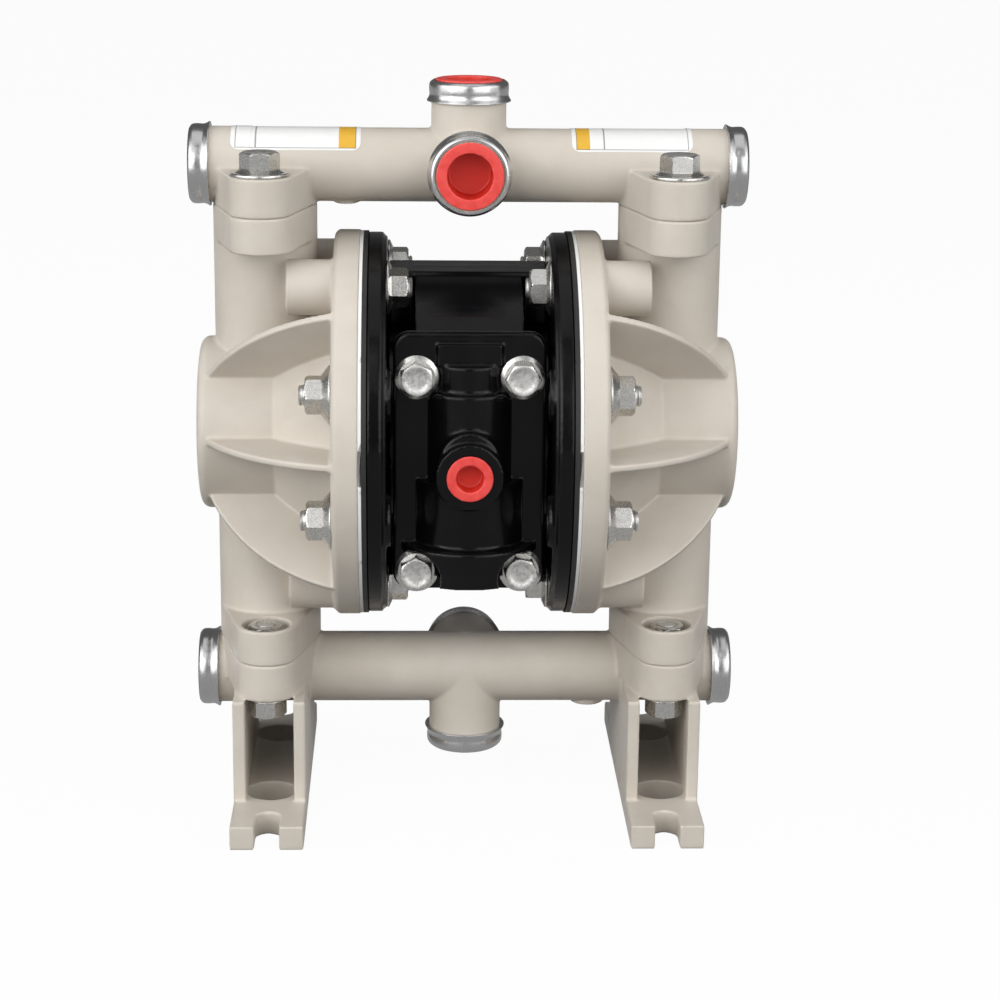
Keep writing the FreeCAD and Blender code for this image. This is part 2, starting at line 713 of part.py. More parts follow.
def diaphragm_pair():
    """Fluid-side sheet and the rubber backup behind it, each with one rolled fold."""
    def disc(label, outer_face, thickness, hole):
        inner_face = "(%s - %s)" % (outer_face, thickness)
        mid_roll = "((roll_inner_radius + roll_outer_radius) / 2)"
        return turned(label, [
            ("-" + outer_face, hole), ("-" + outer_face, "roll_inner_radius"),
            ("-(%s - roll_depth)" % outer_face, mid_roll), ("-" + outer_face, "roll_outer_radius"),
            ("-" + outer_face, "diaphragm_radius"), ("-" + inner_face, "diaphragm_radius"),
            ("-" + inner_face, "roll_outer_radius"),
            ("-(%s - roll_depth)" % inner_face, mid_roll), ("-" + inner_face, "roll_inner_radius"),
            ("-" + inner_face, hole),
        ], z="pump_axis_height")
    hole = "plate_screw_radius + fit_clearance"
    fluid_face = disc("diaphragm_disc", "cap_face", "diaphragm_thickness", hole)
    slots = [box("pry_slot_%d" % index, "2 * diaphragm_thickness", "2 * pry_slot_depth",
                 "pry_slot_height", "-cap_face", "%d * diaphragm_radius" % side,
                 "pump_axis_height - pry_slot_height / 2")
             for index, side in enumerate(SIGNS)]
    holes = cap_screw_holes("diaphragm_hole")
    sheet_disc = keep(cut("diaphragm_left", fluid_face, slots + holes), "diaphragm_left")
    air_face = disc("backup_disc", "(cap_face - diaphragm_thickness)", "backup_thickness", hole)
    backup = keep(cut("backup_diaphragm_left", air_face, cap_screw_holes("backup_hole")),
                  "backup_diaphragm_left")
    mirrored(sheet_disc, "diaphragm_right")
    mirrored(backup, "backup_diaphragm_right")


def rod_and_plates():
    """Rod across the pump with a plate each side of both diaphragms and a screw in each end."""
    rod_end = "(%s - air_plate_thickness)" % AIR_FACE
    rod = cylinder("rod_bar", "rod_radius", "2 * " + rod_end, "-" + rod_end, "0",
                   "pump_axis_height", "X")
    thread = "(plate_screw_radius * 4)"
    holes = []
    for index, (side, axis) in enumerate(((-1, "X"), (1, "-X"))):
        holes.append(cylinder("rod_thread_%d" % index, "plate_screw_radius", thread,
                              "%d * %s" % (side, rod_end), "0", "pump_axis_height", axis))
    keep(cut("diaphragm_rod", rod, holes), "diaphragm_rod")
    fluid_plate = turned("fluid_plate_left", [
        ("-cap_face", "plate_screw_radius + fit_clearance"), ("-cap_face", "plate_radius"),
        ("-(cap_face + fluid_plate_thickness / 3)", "plate_radius"),
        ("-(cap_face + fluid_plate_thickness)", "plate_radius / 2"),
        ("-(cap_face + fluid_plate_thickness)", "plate_screw_radius + fit_clearance"),
    ], {2: ("plate_radius", "left")}, z="pump_axis_height")
    mirrored(keep(fluid_plate, "fluid_plate_left"), "fluid_plate_right")
    air_plate = turned("air_plate_left", [
        ("-" + AIR_FACE, "plate_screw_radius + fit_clearance"),
        ("-" + AIR_FACE, "plate_radius"),
        ("-(%s - air_plate_thickness / 2)" % AIR_FACE, "plate_radius"),
        ("-" + rod_end, "plate_radius - air_plate_thickness / 2"),
        ("-" + rod_end, "plate_screw_radius + fit_clearance"),
    ], z="pump_axis_height")
    mirrored(keep(air_plate, "air_plate_left"), "air_plate_right")
    face = "(cap_face + fluid_plate_thickness)"
    head = hexagon("plate_screw_head", "plate_screw_head_radius", "plate_screw_head_height",
                   "-" + face, "0", "pump_axis_height", "-X")
    shank = cylinder("plate_screw_shank", "plate_screw_radius",
                     "%s - %s + %s - seat_gap" % (face, rod_end, thread), "-" + face, "0",
                     "pump_axis_height", "X")
    screw = keep(fuse("plate_screw_left", [head, shank]), "plate_screw_left")
    mirrored(screw, "plate_screw_right")


def air_cap():
    """Black dish behind each diaphragm, with the rod and pilot bores through its hub."""
    shell = turned("air_cap_shell", [
        ("-" + AIR_FACE, "cavity_face_radius"), ("-" + AIR_FACE, "air_flange_radius"),
        ("-(air_flange_inner + air_flange_chamfer)", "air_flange_radius"),
        ("-air_flange_inner", "air_flange_radius - air_flange_chamfer"),
        ("-air_flange_inner", "air_hub_radius"), ("-body_half_width", "air_hub_radius"),
        ("-body_half_width", "rod_radius + fit_clearance"),
        ("-air_cavity_floor", "rod_radius + fit_clearance"),
        ("-air_cavity_floor", "air_cavity_floor_radius"),
        ("-air_flange_inner", "air_cavity_neck_radius"),
        ("-air_cavity_step", "roll_outer_radius"),
    ], {2: ("air_flange_chamfer", "left")}, z="pump_axis_height")
    solid = [shell]
    bores = [cylinder("pilot_hole", "pilot_radius + fit_clearance", "air_cavity_floor",
                      "0", "0", "pump_axis_height + pilot_offset", "-X")]
    bores += cap_screw_holes("air_cap_bolt_hole")
    for index, angle in enumerate(NUT_ANGLES):
        y, z = bolt_circle(angle)
        front = "-(air_flange_inner - air_boss_ring_height)"
        solid.append(cylinder("air_cap_ring_%d" % index, "air_boss_ring_radius",
                              "air_boss_ring_height", front, y, z, "-X"))
        bores.append(cylinder("head_pocket_%d" % index, "hex_radius + seat_gap",
                              "air_boss_ring_height + head_pocket_depth", front, y, z, "-X"))
    return keep(cut("air_cap_left", fuse("air_cap_solid", solid), bores), "air_cap_left")


def center_body():
    """Round middle section, flat in front for the valve block and behind for the exhaust."""
    drum = cylinder("body_drum", "body_radius", "2 * body_half_width", "-body_half_width", "0",
                    "pump_axis_height", "X")
    slab = box("body_slab", "2 * body_half_width", "2 * body_front", "2 * body_radius",
               z="pump_axis_height - body_radius")
    trimmed = doc.addObject("Part::Common", "body_trimmed")
    trimmed.Base = drum
    trimmed.Tool = slab
    reach = "2 * (air_flange_inner - seat_gap)"
    depth = "2 * (bolt_circle_radius * cos(67.5) - boss_nut_radius - 2 * seat_gap)"
    shoulders = cut("body_shoulders", box(
        "body_shoulder_block", reach, depth, "2 * body_shoulder_radius",
        z="pump_axis_height - body_shoulder_radius",
    ), [
        cylinder("body_shoulder_core", "air_hub_radius + seat_gap", reach,
                 "-(air_flange_inner - seat_gap)", "0", "pump_axis_height", "X"),
    ])
    lugs = [cylinder("body_front_lug_%d" % index, "screw_lug_radius", "screw_lug_depth",
                     x, "-body_front", z, "Y") for index, (x, z) in enumerate(front_screw_spots())]
    lugs += [cylinder("body_rear_lug_%d" % index, "screw_lug_radius", "screw_lug_depth",
                      x, "body_front", z, "-Y") for index, (x, z) in enumerate(rear_screw_spots())]
    bores = [
        cylinder("body_rod_bore", "rod_radius + seat_gap", "2 * body_half_width",
                 "-body_half_width", "0", "pump_axis_height", "X"),
        cylinder("body_pilot_bore", "pilot_radius + fit_clearance", "2 * body_half_width",
                 "-body_half_width", "0", "pump_axis_height + pilot_offset", "X"),
        cylinder("body_exhaust_bore", "exhaust_bore_radius", "body_front / 2", "0",
                 "body_front / 2", "pump_axis_height", "Y"),
    ]
    for index, (side, axis) in enumerate(((-1, "X"), (1, "-X"))):
        bores.append(cylinder("body_bushing_bore_%d" % index, "bushing_radius + fit_clearance",
                              "bushing_length", "%d * body_half_width" % side, "0",
                              "pump_axis_height", axis))
    bores += front_screw_holes("body_front_hole", "-body_front", "Y")
    bores += rear_screw_holes("body_rear_hole", "body_front", "-Y")
    return keep(cut("center_body", fuse("body_solid", [trimmed, shoulders] + lugs), bores), "center_body")


def front_screw_spots():
    """X and Z expressions of the four valve block screws."""
    return [("%d * block_bolt_spread" % side, level)
            for side in SIGNS for level in ("block_bolt_low", "block_bolt_high")]


def rear_screw_spots():
    """X and Z expressions of the four exhaust cover screws."""
    return [("%d * cover_bolt_spread" % side, "pump_axis_height + %d * cover_bolt_rise" % rise)
            for side in SIGNS for rise in SIGNS]


def front_screw_holes(name, y, axis, depth="block_bolt_length"):
    return [cylinder("%s_%d" % (name, index), "block_bolt_radius + fit_clearance", depth,
                     x, y, z, axis) for index, (x, z) in enumerate(front_screw_spots())]


def rear_screw_holes(name, y, axis, depth="block_bolt_length"):
    return [cylinder("%s_%d" % (name, index), "block_bolt_radius + fit_clearance", depth,
                     x, y, z, axis) for index, (x, z) in enumerate(rear_screw_spots())]


def rounded_rectangle(half_width, bottom, top, radius):
    """Corners and arcs of an upright rectangle with rounded corners."""
    near, far = "(%s - %s)" % (half_width, radius), half_width
    low, high = "(%s + %s)" % (bottom, radius), "(%s - %s)" % (top, radius)
    corners = [
        ("-" + near, bottom), (near, bottom), (far, low), (far, high),
        (near, top), ("-" + near, top), ("-" + far, high), ("-" + far, low),
    ]
    arcs = {1: (radius, "left"), 3: (radius, "left"), 5: (radius, "left"), 7: (radius, "left")}
    return corners, arcs


def valve_block():
    """Valve housing: bolted plate, stepped upright barrel and the air inlet boss."""
    corners, arcs = rounded_rectangle("block_plate_half_width", "block_plate_bottom",
                                      "block_plate_top", "block_corner_radius")
    back = "(body_front + gasket_thickness)"
    solid = [
        plate("block_plate", corners, arcs, "XZ_Plane", back, "block_plate_thickness"),
        cylinder("block_barrel", "barrel_radius", "barrel_top - barrel_bottom", "0",
                 "-barrel_setback", "barrel_bottom"),
        cylinder("block_neck", "neck_radius", "neck_top - barrel_top", "0", "-barrel_setback",
                 "barrel_top"),
        box("block_pad", "2 * pad_half_width", "pad_front - %s" % back, "pad_top - neck_top",
            "0", "-(pad_front + %s) / 2" % back, "neck_top"),
        cylinder("block_lower_barrel", "lower_barrel_radius", "barrel_bottom - lower_barrel_bottom",
                 "0", "-barrel_setback", "lower_barrel_bottom"),
        cylinder("block_foot_band", "foot_band_radius", "lower_barrel_bottom - foot_band_bottom",
                 "0", "-barrel_setback", "foot_band_bottom"),
        cylinder("air_boss", "air_boss_radius", "air_boss_front - barrel_setback", "0",
                 "-barrel_setback", "air_inlet_height", "-Y"),
        cylinder("air_collar", "air_collar_radius", "air_collar_front - barrel_setback", "0",
                 "-barrel_setback", "air_inlet_height + air_collar_rise", "-Y"),
    ]
    behind = box("block_back_clearance", "4 * foot_band_radius", "4 * foot_band_radius",
                 "pump_axis_height", "0", "2 * foot_band_radius - %s" % back,
                 "pump_axis_height / 2")
    bores = [
        behind,
        cylinder("sleeve_bore", "sleeve_radius + fit_clearance", "sleeve_top - sleeve_bottom", "0",
                 "-valve_setback", "sleeve_bottom"),
        cylinder("air_thread", "air_thread_radius", "air_thread_depth", "0", "-air_boss_front",
                 "air_inlet_height", "Y"),
    ]
    bores += front_screw_holes("block_screw_hole", "-" + BLOCK_FACE, "Y")
    for index, (x, z) in enumerate(front_screw_spots()):
        bores.append(cylinder("block_spot_face_%d" % index,
                              "block_bolt_flange_radius + screw_face_clearance",
                              "foot_band_radius", x, "-" + BLOCK_FACE, z, "-Y"))
    return keep(cut("valve_block", fuse("block_solid", solid), bores), "valve_block")


def sleeve_and_spool():
    """Sleeve pressed in the valve barrel and the spool that shuttles in it."""
    y = "-valve_setback"
    tube = cylinder("sleeve_tube", "sleeve_radius", "sleeve_top - sleeve_bottom", "0", y,
                    "sleeve_bottom")
    bore = cylinder("sleeve_inner", "sleeve_bore_radius", "sleeve_top - sleeve_bottom", "0", y,
                    "sleeve_bottom")
    keep(cut("valve_sleeve", tube, [bore]), "valve_sleeve")
    land = "sleeve_bore_radius - fit_clearance"
    step = "(spool_length / 5)"
    spool = turned("valve_spool", [
        ("0", "0"), (land, "0"), (land, step), ("spool_neck_radius", step),
        ("spool_neck_radius", "2 * " + step), (land, "2 * " + step), (land, "3 * " + step),
        ("spool_neck_radius", "3 * " + step), ("spool_neck_radius", "4 * " + step),
        (land, "4 * " + step), (land, "5 * " + step), ("0", "5 * " + step),
    ], plane="XZ_Plane", axis="V_Axis")
    place(spool, "0", y, "sleeve_bottom + seat_gap")
    keep(spool, "valve_spool")


def gaskets():
    """Thin seals between the centre body and what is bolted to it."""
    corners, arcs = rounded_rectangle("block_plate_half_width", "block_plate_bottom",
                                      "block_plate_top", "block_corner_radius")
    front = plate("front_gasket_sheet", corners, arcs, "XZ_Plane", "body_front",
                  "gasket_thickness")
    keep(cut("valve_block_gasket", front, front_screw_holes("gasket_front_hole", "0", "-Y",
                                                           "2 * body_front")),
         "valve_block_gasket")
    corners, arcs = rounded_rectangle(
        "cover_half_width", "(pump_axis_height - cover_half_height)",
        "(pump_axis_height + cover_half_height)", "block_corner_radius")
    rear = plate("rear_gasket_sheet", corners, arcs, "XZ_Plane",
                 "-(body_front + gasket_thickness)", "gasket_thickness")
    holes = rear_screw_holes("gasket_rear_hole", "0", "Y", "2 * body_front")
    holes.append(cylinder("gasket_exhaust_hole", "exhaust_bore_radius", "2 * body_front", "0",
                          "0", "pump_axis_height", "Y"))
    keep(cut("exhaust_gasket", rear, holes), "exhaust_gasket")


def exhaust_cover():
    """Back plate with the threaded exhaust port."""
    corners, arcs = rounded_rectangle(
        "cover_half_width", "(pump_axis_height - cover_half_height)",
        "(pump_axis_height + cover_half_height)", "block_corner_radius")
    sheet_plate = plate("cover_plate", corners, arcs, "XZ_Plane", "-" + COVER_FACE,
                        "cover_thickness")
    boss = cylinder("cover_boss", "cover_boss_radius", "cover_boss_length", "0",
                    "body_front + gasket_thickness", "pump_axis_height", "Y")
    bores = rear_screw_holes("cover_hole", COVER_FACE, "-Y", "cover_thickness")
    bores.append(cylinder("exhaust_thread", "exhaust_thread_radius", "cover_boss_length", "0",
                          "body_front + gasket_thickness", "pump_axis_height", "Y"))
    keep(cut("exhaust_cover", fuse("cover_solid", [sheet_plate, boss]), bores), "exhaust_cover")


def small_parts_of_the_body():
    """Rod bushings pressed in the centre body, and the pilot rod above the main rod."""
    rings = []
    for index, (side, axis) in enumerate(((-1, "X"), (1, "-X"))):
        x = "%d * body_half_width" % side
        outer = cylinder("bushing_outer_%d" % index, "bushing_radius", "bushing_length", x, "0",
                         "pump_axis_height", axis)
        inner = cylinder("bushing_inner_%d" % index, "rod_radius + fit_clearance",
                         "bushing_length", x, "0", "pump_axis_height", axis)
        rings.append(cut("bushing_%d" % index, outer, [inner]))
    keep(group("rod_bushings", rings), "rod_bushings")
    pilot = cylinder("pilot_rod", "pilot_radius", "2 * pilot_half_length", "-pilot_half_length",
                     "0", "pump_axis_height + pilot_offset", "X")
    keep(pilot, "pilot_rod")


def screw(name, x, y, z, axis, sizes):
    """Hex screw whose head stands on a point and whose shank runs against the axis."""
    shank_radius, length, hex_radius, hex_height, flange_radius, flange_height = sizes
    inward = axis[1:] if axis.startswith("-") else "-" + axis
    shift = {"X": 0, "-X": 0, "Y": 1, "-Y": 1, "Z": 2, "-Z": 2}[axis]
    sign = "-" if axis.startswith("-") else "+"
    spot = [x, y, z]
    spot[shift] = "%s %s (%s)" % (spot[shift], sign, flange_height)
    return fuse(name, [
        cylinder(name + "_shank", shank_radius, length, x, y, z, inward),
        cylinder(name + "_flange", flange_radius, flange_height, x, y, z, axis),
        hexagon(name + "_hex", hex_radius, hex_height, spot[0], spot[1], spot[2], axis),
    ])


def cap_fasteners():
    """Eight screws per side from the air cap into the fluid cap, and four flange nuts."""
    screws, nuts = [], []
    for index, angle in enumerate(NUT_ANGLES + BOSS_ANGLES):
        y, z = bolt_circle(angle)
        if angle in NUT_ANGLES:
            seat = "-(air_flange_inner + head_pocket_depth)"
            length = ("%s - air_flange_inner - head_pocket_depth + cap_hex_height"
                      " + nut_flange_height + stud_end" % FLANGE_BACK)
            screws.append(screw("cap_screw_%d" % index, seat, y, z, "X", (
                "bolt_radius", length, "hex_radius", "head_pocket_depth - 2 * seat_gap",
                "hex_radius - seat_gap", "seat_gap")))
            nuts.append(nut("cap_nut_%d" % index, "-" + FLANGE_BACK, y, z, "-X",
                            "flange_nut_radius", "cap_hex_height"))
        else:
            head = screw("cap_screw_%d" % index, "-air_flange_inner", y, z, "X", (
                "bolt_radius", "boss_end - air_flange_inner - 8 * seat_gap", "hex_radius",
                "cap_hex_height", "boss_nut_radius", "washer_thickness"))
            tip = cylinder("cap_stud_tip_%d" % index, "bolt_radius",
                           "washer_thickness + cap_hex_height + boss_stud_end",
                           "-air_flange_inner", y, z, "X")
            screws.append(fuse("cap_stud_%d" % index, [head, tip]))
    left = keep(group("cap_screws_left", screws), "cap_screws_left")
    mirrored(left, "cap_screws_right")
    left_nuts = keep(group("cap_nuts_left", nuts), "cap_nuts_left")
    mirrored(left_nuts, "cap_nuts_right")


def nut(name, x, y, z, axis, flange_radius, height):
    """Flange nut standing on a point, open along the axis."""
    full_height = "%s + nut_flange_height" % height
    hex_part = hexagon(name + "_hex", "hex_radius", full_height, x, y, z, axis)
    flange = cone(name + "_flange", flange_radius, "hex_radius", "nut_flange_height",
                  x, y, z, axis)
    bore = cylinder(name + "_bore", "bolt_radius + fit_clearance", full_height, x, y, z, axis)
    return cut(name, fuse(name + "_solid", [hex_part, flange]), [bore])


def manifold_fasteners(name, ear_face, outward, washer_radius):
    """Four hex screws with washers through one manifold's ears, and their nuts in the caps."""
    axis = "Z" if outward > 0 else "-Z"
    inward = "-Z" if outward > 0 else "Z"
    screws, washers, nuts = [], [], []
    for index, (side, across) in enumerate((a, b) for a in SIGNS for b in SIGNS):
        x = "%d * column_offset" % side
        y = "%d * ear_bolt_offset" % across
        seat = "%s + %d * washer_thickness" % (ear_face, outward)
        length = "washer_thickness + %s + cap_ear_height - seat_gap" % JOINT_TO_AXIS
        screws.append(screw("%s_screw_%d" % (name, index), x, y, seat, axis, (
            "bolt_radius", length, "hex_radius", "hex_height", "hex_radius - 2 * seat_gap",
            "2 * seat_gap")))
        disc = cylinder("%s_washer_disc_%d" % (name, index), washer_radius, "washer_thickness",
                        x, y, ear_face, axis)
        hole = cylinder("%s_washer_hole_%d" % (name, index), "bolt_radius + fit_clearance",
                        "washer_thickness", x, y, ear_face, axis)
        washers.append(cut("%s_washer_%d" % (name, index), disc, [hole]))
        pocket = "pump_axis_height + %d * (%s + ear_pocket_depth)" % (outward, EAR_FACE)
        body = hexagon("%s_nut_hex_%d" % (name, index), "hex_radius",
                       "ear_pocket_depth - seat_gap", x, y, pocket, inward)
        bore = cylinder("%s_nut_bore_%d" % (name, index), "bolt_radius + fit_clearance",
                        "ear_pocket_depth", x, y, pocket, inward)
        nuts.append(cut("%s_nut_%d" % (name, index), body, [bore]))
    keep(group(name + "_screws", screws), name + "_screws")
    keep(group(name + "_washers", washers), name + "_washers")
    keep(group(name + "_nuts", nuts), name + "_nuts")


def plate_fasteners():
    """Four screws in the valve block and four in the exhaust cover."""
    sizes = ("block_bolt_radius", "block_bolt_length - seat_gap", "block_bolt_hex_radius",
             "block_bolt_hex_height", "block_bolt_flange_radius", "washer_thickness")
    front = [screw("block_screw_%d" % index, x, "-" + BLOCK_FACE, z, "-Y", sizes)
             for index, (x, z) in enumerate(front_screw_spots())]
    keep(group("valve_block_screws", front), "valve_block_screws")
    rear = [screw("cover_screw_%d" % index, x, COVER_FACE, z, "Y", sizes)
            for index, (x, z) in enumerate(rear_screw_spots())]
    keep(group("exhaust_cover_screws", rear), "exhaust_cover_screws")


def shipping_plug(label, x, y, z, axis, flange_radius, body_radius, hole_radius, depth):
    """Hollow push-in plug with a thin flange, pulled out along the axis."""
    body = turned(label, [
        (hole_radius, "plug_flange_thickness"), (hole_radius, "plug_floor - (%s)" % depth),
        ("0", "plug_floor - (%s)" % depth), ("0", "-(%s)" % depth), (body_radius, "-(%s)" % depth),
        (body_radius, "0"), (flange_radius, "0"), (flange_radius, "plug_flange_thickness"),
    ], plane="XZ_Plane", axis="V_Axis")
    place(body, x, y, z, axis)
    return keep(body, label)


def plugs():
    """The three plugs that close the upper, front and air ports."""
    wide = ("plug_flange_radius", "thread_bore_radius - fit_clearance",
            "thread_bore_radius - plug_wall", "plug_depth")
    seat = "(branch_reach - band_lip_thickness + seat_gap)"
    shipping_plug("plug_outlet_top", "0", "0", "%s + %s" % (UPPER_AXIS, seat), "Z", *wide)
    shipping_plug("plug_outlet_front", "0", "-" + seat, UPPER_AXIS, "-Y", *wide)
    shipping_plug("plug_air_inlet", "0", "-(air_boss_front + seat_gap)", "air_inlet_height", "-Y",
                  "air_plug_flange_radius", "air_thread_radius - fit_clearance",
                  "air_plug_hole_radius", "air_plug_depth")


def export():
    """Recompute, stop on any failed object or bad shape, and write one file per sub-part."""
    doc.recompute()
    for item in doc.Objects:
        if "Invalid" in item.State or "Error" in item.State:
            raise RuntimeError("object failed: %s %s" % (item.Name, item.State))
    os.makedirs("parts", exist_ok=True)
    for item in nodes:
        shape = item.Shape
        if shape.isNull() or not shape.isValid() or not shape.Solids:
            raise RuntimeError("bad shape: " + item.Label)
    for item in nodes:
        item.Shape.exportStep("parts/%s.step" % item.Label)
    print("%d sub-parts written" % len(nodes))


mirrored(fluid_cap(), "fluid_cap_right")
outlet_manifold()
inlet_manifold()
for end, side in (("left", -1), ("right", 1)):
    check_valve("inlet_" + end, side, "(pump_axis_height - joint_offset)")
    check_valve("outlet_" + end, side, "(pump_axis_height + joint_offset)")
diaphragm_pair()
rod_and_plates()
mirrored(air_cap(), "air_cap_right")
center_body()
valve_block()
sleeve_and_spool()
gaskets()
exhaust_cover()
small_parts_of_the_body()
cap_fasteners()
manifold_fasteners("outlet", UPPER_AXIS, 1, "washer_radius")
manifold_fasteners("inlet", LOWER_AXIS, -1, "inlet_washer_radius")
joint_seals()
plate_fasteners()
plugs()
export()
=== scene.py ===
"""Looks of the air operated diaphragm pump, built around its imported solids.

Sizes in the classes are millimetres in the pump's own frame: X runs along the diaphragm rod,
Y to the back and Z up, from the floor under the middle of the pump. Meshes are written in metres.
"""
import logging
import math
from dataclasses import dataclass
from enum import Enum
from typing import Iterable, Optional, Sequence, Union

import bmesh
import bpy
import numpy as np
from mathutils import Matrix, Vector


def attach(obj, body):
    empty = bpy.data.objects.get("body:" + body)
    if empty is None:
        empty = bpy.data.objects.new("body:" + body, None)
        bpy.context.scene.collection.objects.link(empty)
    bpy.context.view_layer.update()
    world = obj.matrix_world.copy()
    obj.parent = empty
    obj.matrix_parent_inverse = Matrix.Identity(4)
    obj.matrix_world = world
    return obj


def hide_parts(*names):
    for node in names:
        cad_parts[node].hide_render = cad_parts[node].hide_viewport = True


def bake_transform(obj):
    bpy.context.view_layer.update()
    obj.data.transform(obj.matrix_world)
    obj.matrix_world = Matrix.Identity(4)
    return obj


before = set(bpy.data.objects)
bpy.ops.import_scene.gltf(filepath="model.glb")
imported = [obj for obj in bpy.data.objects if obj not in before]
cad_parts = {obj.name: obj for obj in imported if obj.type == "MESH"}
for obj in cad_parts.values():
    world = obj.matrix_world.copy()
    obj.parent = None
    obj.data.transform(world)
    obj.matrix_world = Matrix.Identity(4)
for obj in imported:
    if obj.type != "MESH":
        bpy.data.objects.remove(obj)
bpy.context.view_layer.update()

MM = 0.001
UPPER_HEADER = 247.6
LOWER_HEADER = 49.2
ROD_HEIGHT = 148.4
SIDE_REACH = 104.1
BRANCH_REACH = 31.7
SIDES = ((-1, "left"), (1, "right"))
CORNERS = ((-1, -1), (-1, 1), (1, -1), (1, 1))
WHITE = (1.0, 1.0, 1.0, 1.0)
MIXED_COLOUR = 2
Array = np.ndarray
Colour = tuple[float, float, float]
log = logging.getLogger("pump")


class Axis(Enum):
    """Direction in which a turned piece points, out of the pump."""

    LEFT = (-1.0, 0.0, 0.0)
    RIGHT = (1.0, 0.0, 0.0)
    FRONT = (0.0, -1.0, 0.0)
    BACK = (0.0, 1.0, 0.0)
    DOWN = (0.0, 0.0, -1.0)
    UP = (0.0, 0.0, 1.0)

    def columns(self) -> Array:
        """Right-handed frame as a 3 by 3 array whose last column is this direction.

        Returns:
            The unit vectors u, v and w as columns.
        """
        w = np.array(self.value)
        u = np.array((1.0, 0.0, 0.0)) if abs(w[2]) > 0.5 else np.cross((0.0, 0.0, 1.0), w)
        return np.column_stack((u, np.cross(w, u), w))


@dataclass
class Surface:
    """Closed surface: points in millimetres and blocks of faces as rows of point numbers.

    Marks hold a number between 0 and 1 for each point, 1 where an end face is struck and pitted,
    and 1 inside a cup, whose vinyl gets painted shade there.
    """

    points: Array
    faces: list[Array]
    marks: Array

    def placed(self, origin: Sequence[float], axis: Axis, turn: float = 0.0) -> "Surface":
        """The surface stood at a point with its own Z along an axis.

        Args:
            origin: where the surface's own origin goes.
            axis: where its own Z points.
            turn: degrees by which it is first turned round its own Z.

        Returns:
            A new surface.
        """
        angle = math.radians(turn)
        spin = np.array(((math.cos(angle), -math.sin(angle), 0.0),
                         (math.sin(angle), math.cos(angle), 0.0), (0.0, 0.0, 1.0)))
        points = self.points @ spin.T @ axis.columns().T + np.array(origin, float)
        return Surface(points, self.faces, self.marks)


def joined(surfaces: Iterable[Surface]) -> Surface:
    """One surface made of several, each keeping its own closed shell.

    Args:
        surfaces: the shells.

    Returns:
        Their points stacked, with the face numbers shifted to match.
    """
    points, faces, marks, count = [], [], [], 0
    for surface in surfaces:
        points.append(surface.points)
        marks.append(surface.marks)
        faces += [block + count for block in surface.faces]
        count += len(surface.points)
    return Surface(np.vstack(points), faces, np.concatenate(marks))


def turned(radii: Array, heights: Array, columns: int = 64, ring: bool = False,
           marks: Optional[Array] = None) -> Surface:
    """Surface of rows of points round Z.

    Point (i, j) is (r cos a, r sin a, z) with a = 2 pi j / columns.

    Args:
        radii: radius of each row, or of each row and column; runs up the outside.
        heights: height of each row, or of each row and column.
        columns: points in each row.
        ring: True where the last row joins the first, as on a washer; otherwise rows of no
            radius at the ends become poles.
        marks: mark of each row, 0 where it isn't given.

    Returns:
        The closed surface.
    """
    rows = len(radii)
    angle = np.linspace(0.0, 2.0 * math.pi, columns, endpoint=False)
    radius = np.broadcast_to(np.reshape(radii, (rows, -1)), (rows, columns))
    height = np.broadcast_to(np.reshape(heights, (rows, -1)), (rows, columns))
    grid = np.stack((radius * np.cos(angle), radius * np.sin(angle), height), axis=-1)
    share = np.repeat(np.zeros(rows) if marks is None else np.asarray(marks, float), columns)
    number = np.arange(rows * columns).reshape(rows, columns)
    after = np.roll(number, -1, axis=1)
    if ring:
        low, high = number, np.roll(number, -1, axis=0)
        low_after, high_after = after, np.roll(after, -1, axis=0)
        quads = np.stack((low, low_after, high_after, high), axis=-1).reshape(-1, 4)
        return Surface(grid.reshape(-1, 3), [quads], share)
    inner, inner_after = number[1:-1], after[1:-1]
    quads = np.stack((inner[:-1], inner_after[:-1], inner_after[1:], inner[1:]), axis=-1)
    bottom, top = number[0, 0], number[-1, 0]
    fans = np.vstack((
        np.stack((np.full(columns, bottom), inner_after[0], inner[0]), axis=-1),
        np.stack((np.full(columns, top), inner[-1], inner_after[-1]), axis=-1),
    ))
    used = np.unique(np.concatenate((quads.ravel(), fans.ravel())))
    renumber = np.zeros(rows * columns, int)
    renumber[used] = np.arange(len(used))
    faces = [renumber[quads.reshape(-1, 4)], renumber[fans]]
    return Surface(grid.reshape(-1, 3)[used], faces, share[used])


def rounded(corners: Sequence[tuple[float, float]], rounding: Sequence[float],
            steps: int = 5, loop: bool = False) -> Array:
    """Profile through corners, each replaced by a circular arc that touches both its edges.

    The arc starts at r tan(t / 2) before the corner, where t is the angle turned there.

    Args:
        corners: (radius, height) of each corner.
        rounding: arc radius at each corner, 0 for a sharp one.
        steps: pieces in each arc.
        loop: True where the last corner joins the first.

    Returns:
        The profile's points, two columns.
    """
    points = np.array(corners, float)
    out = []
    for index, (corner, radius) in enumerate(zip(points, rounding)):
        ends = not loop and index in (0, len(points) - 1)
        if radius <= 0.0 or ends:
            out.append(corner[None, :])
            continue
        before = points[index - 1] - corner
        after = points[(index + 1) % len(points)] - corner
        before, after = before / np.linalg.norm(before), after / np.linalg.norm(after)
        half = math.acos(float(np.clip(before @ after, -1.0, 1.0))) / 2.0
        bisector = (before + after) / np.linalg.norm(before + after)
        centre = corner + bisector * radius / math.sin(half)
        start = corner + before * radius / math.tan(half) - centre
        finish = corner + after * radius / math.tan(half) - centre
        share = np.linspace(0.0, 1.0, steps + 1)[:, None]
        sweep = math.pi - 2.0 * half
        arc = np.sin((1.0 - share) * sweep) * start + np.sin(share * sweep) * finish
        out.append(centre + arc / math.sin(sweep))
    return np.vstack(out)


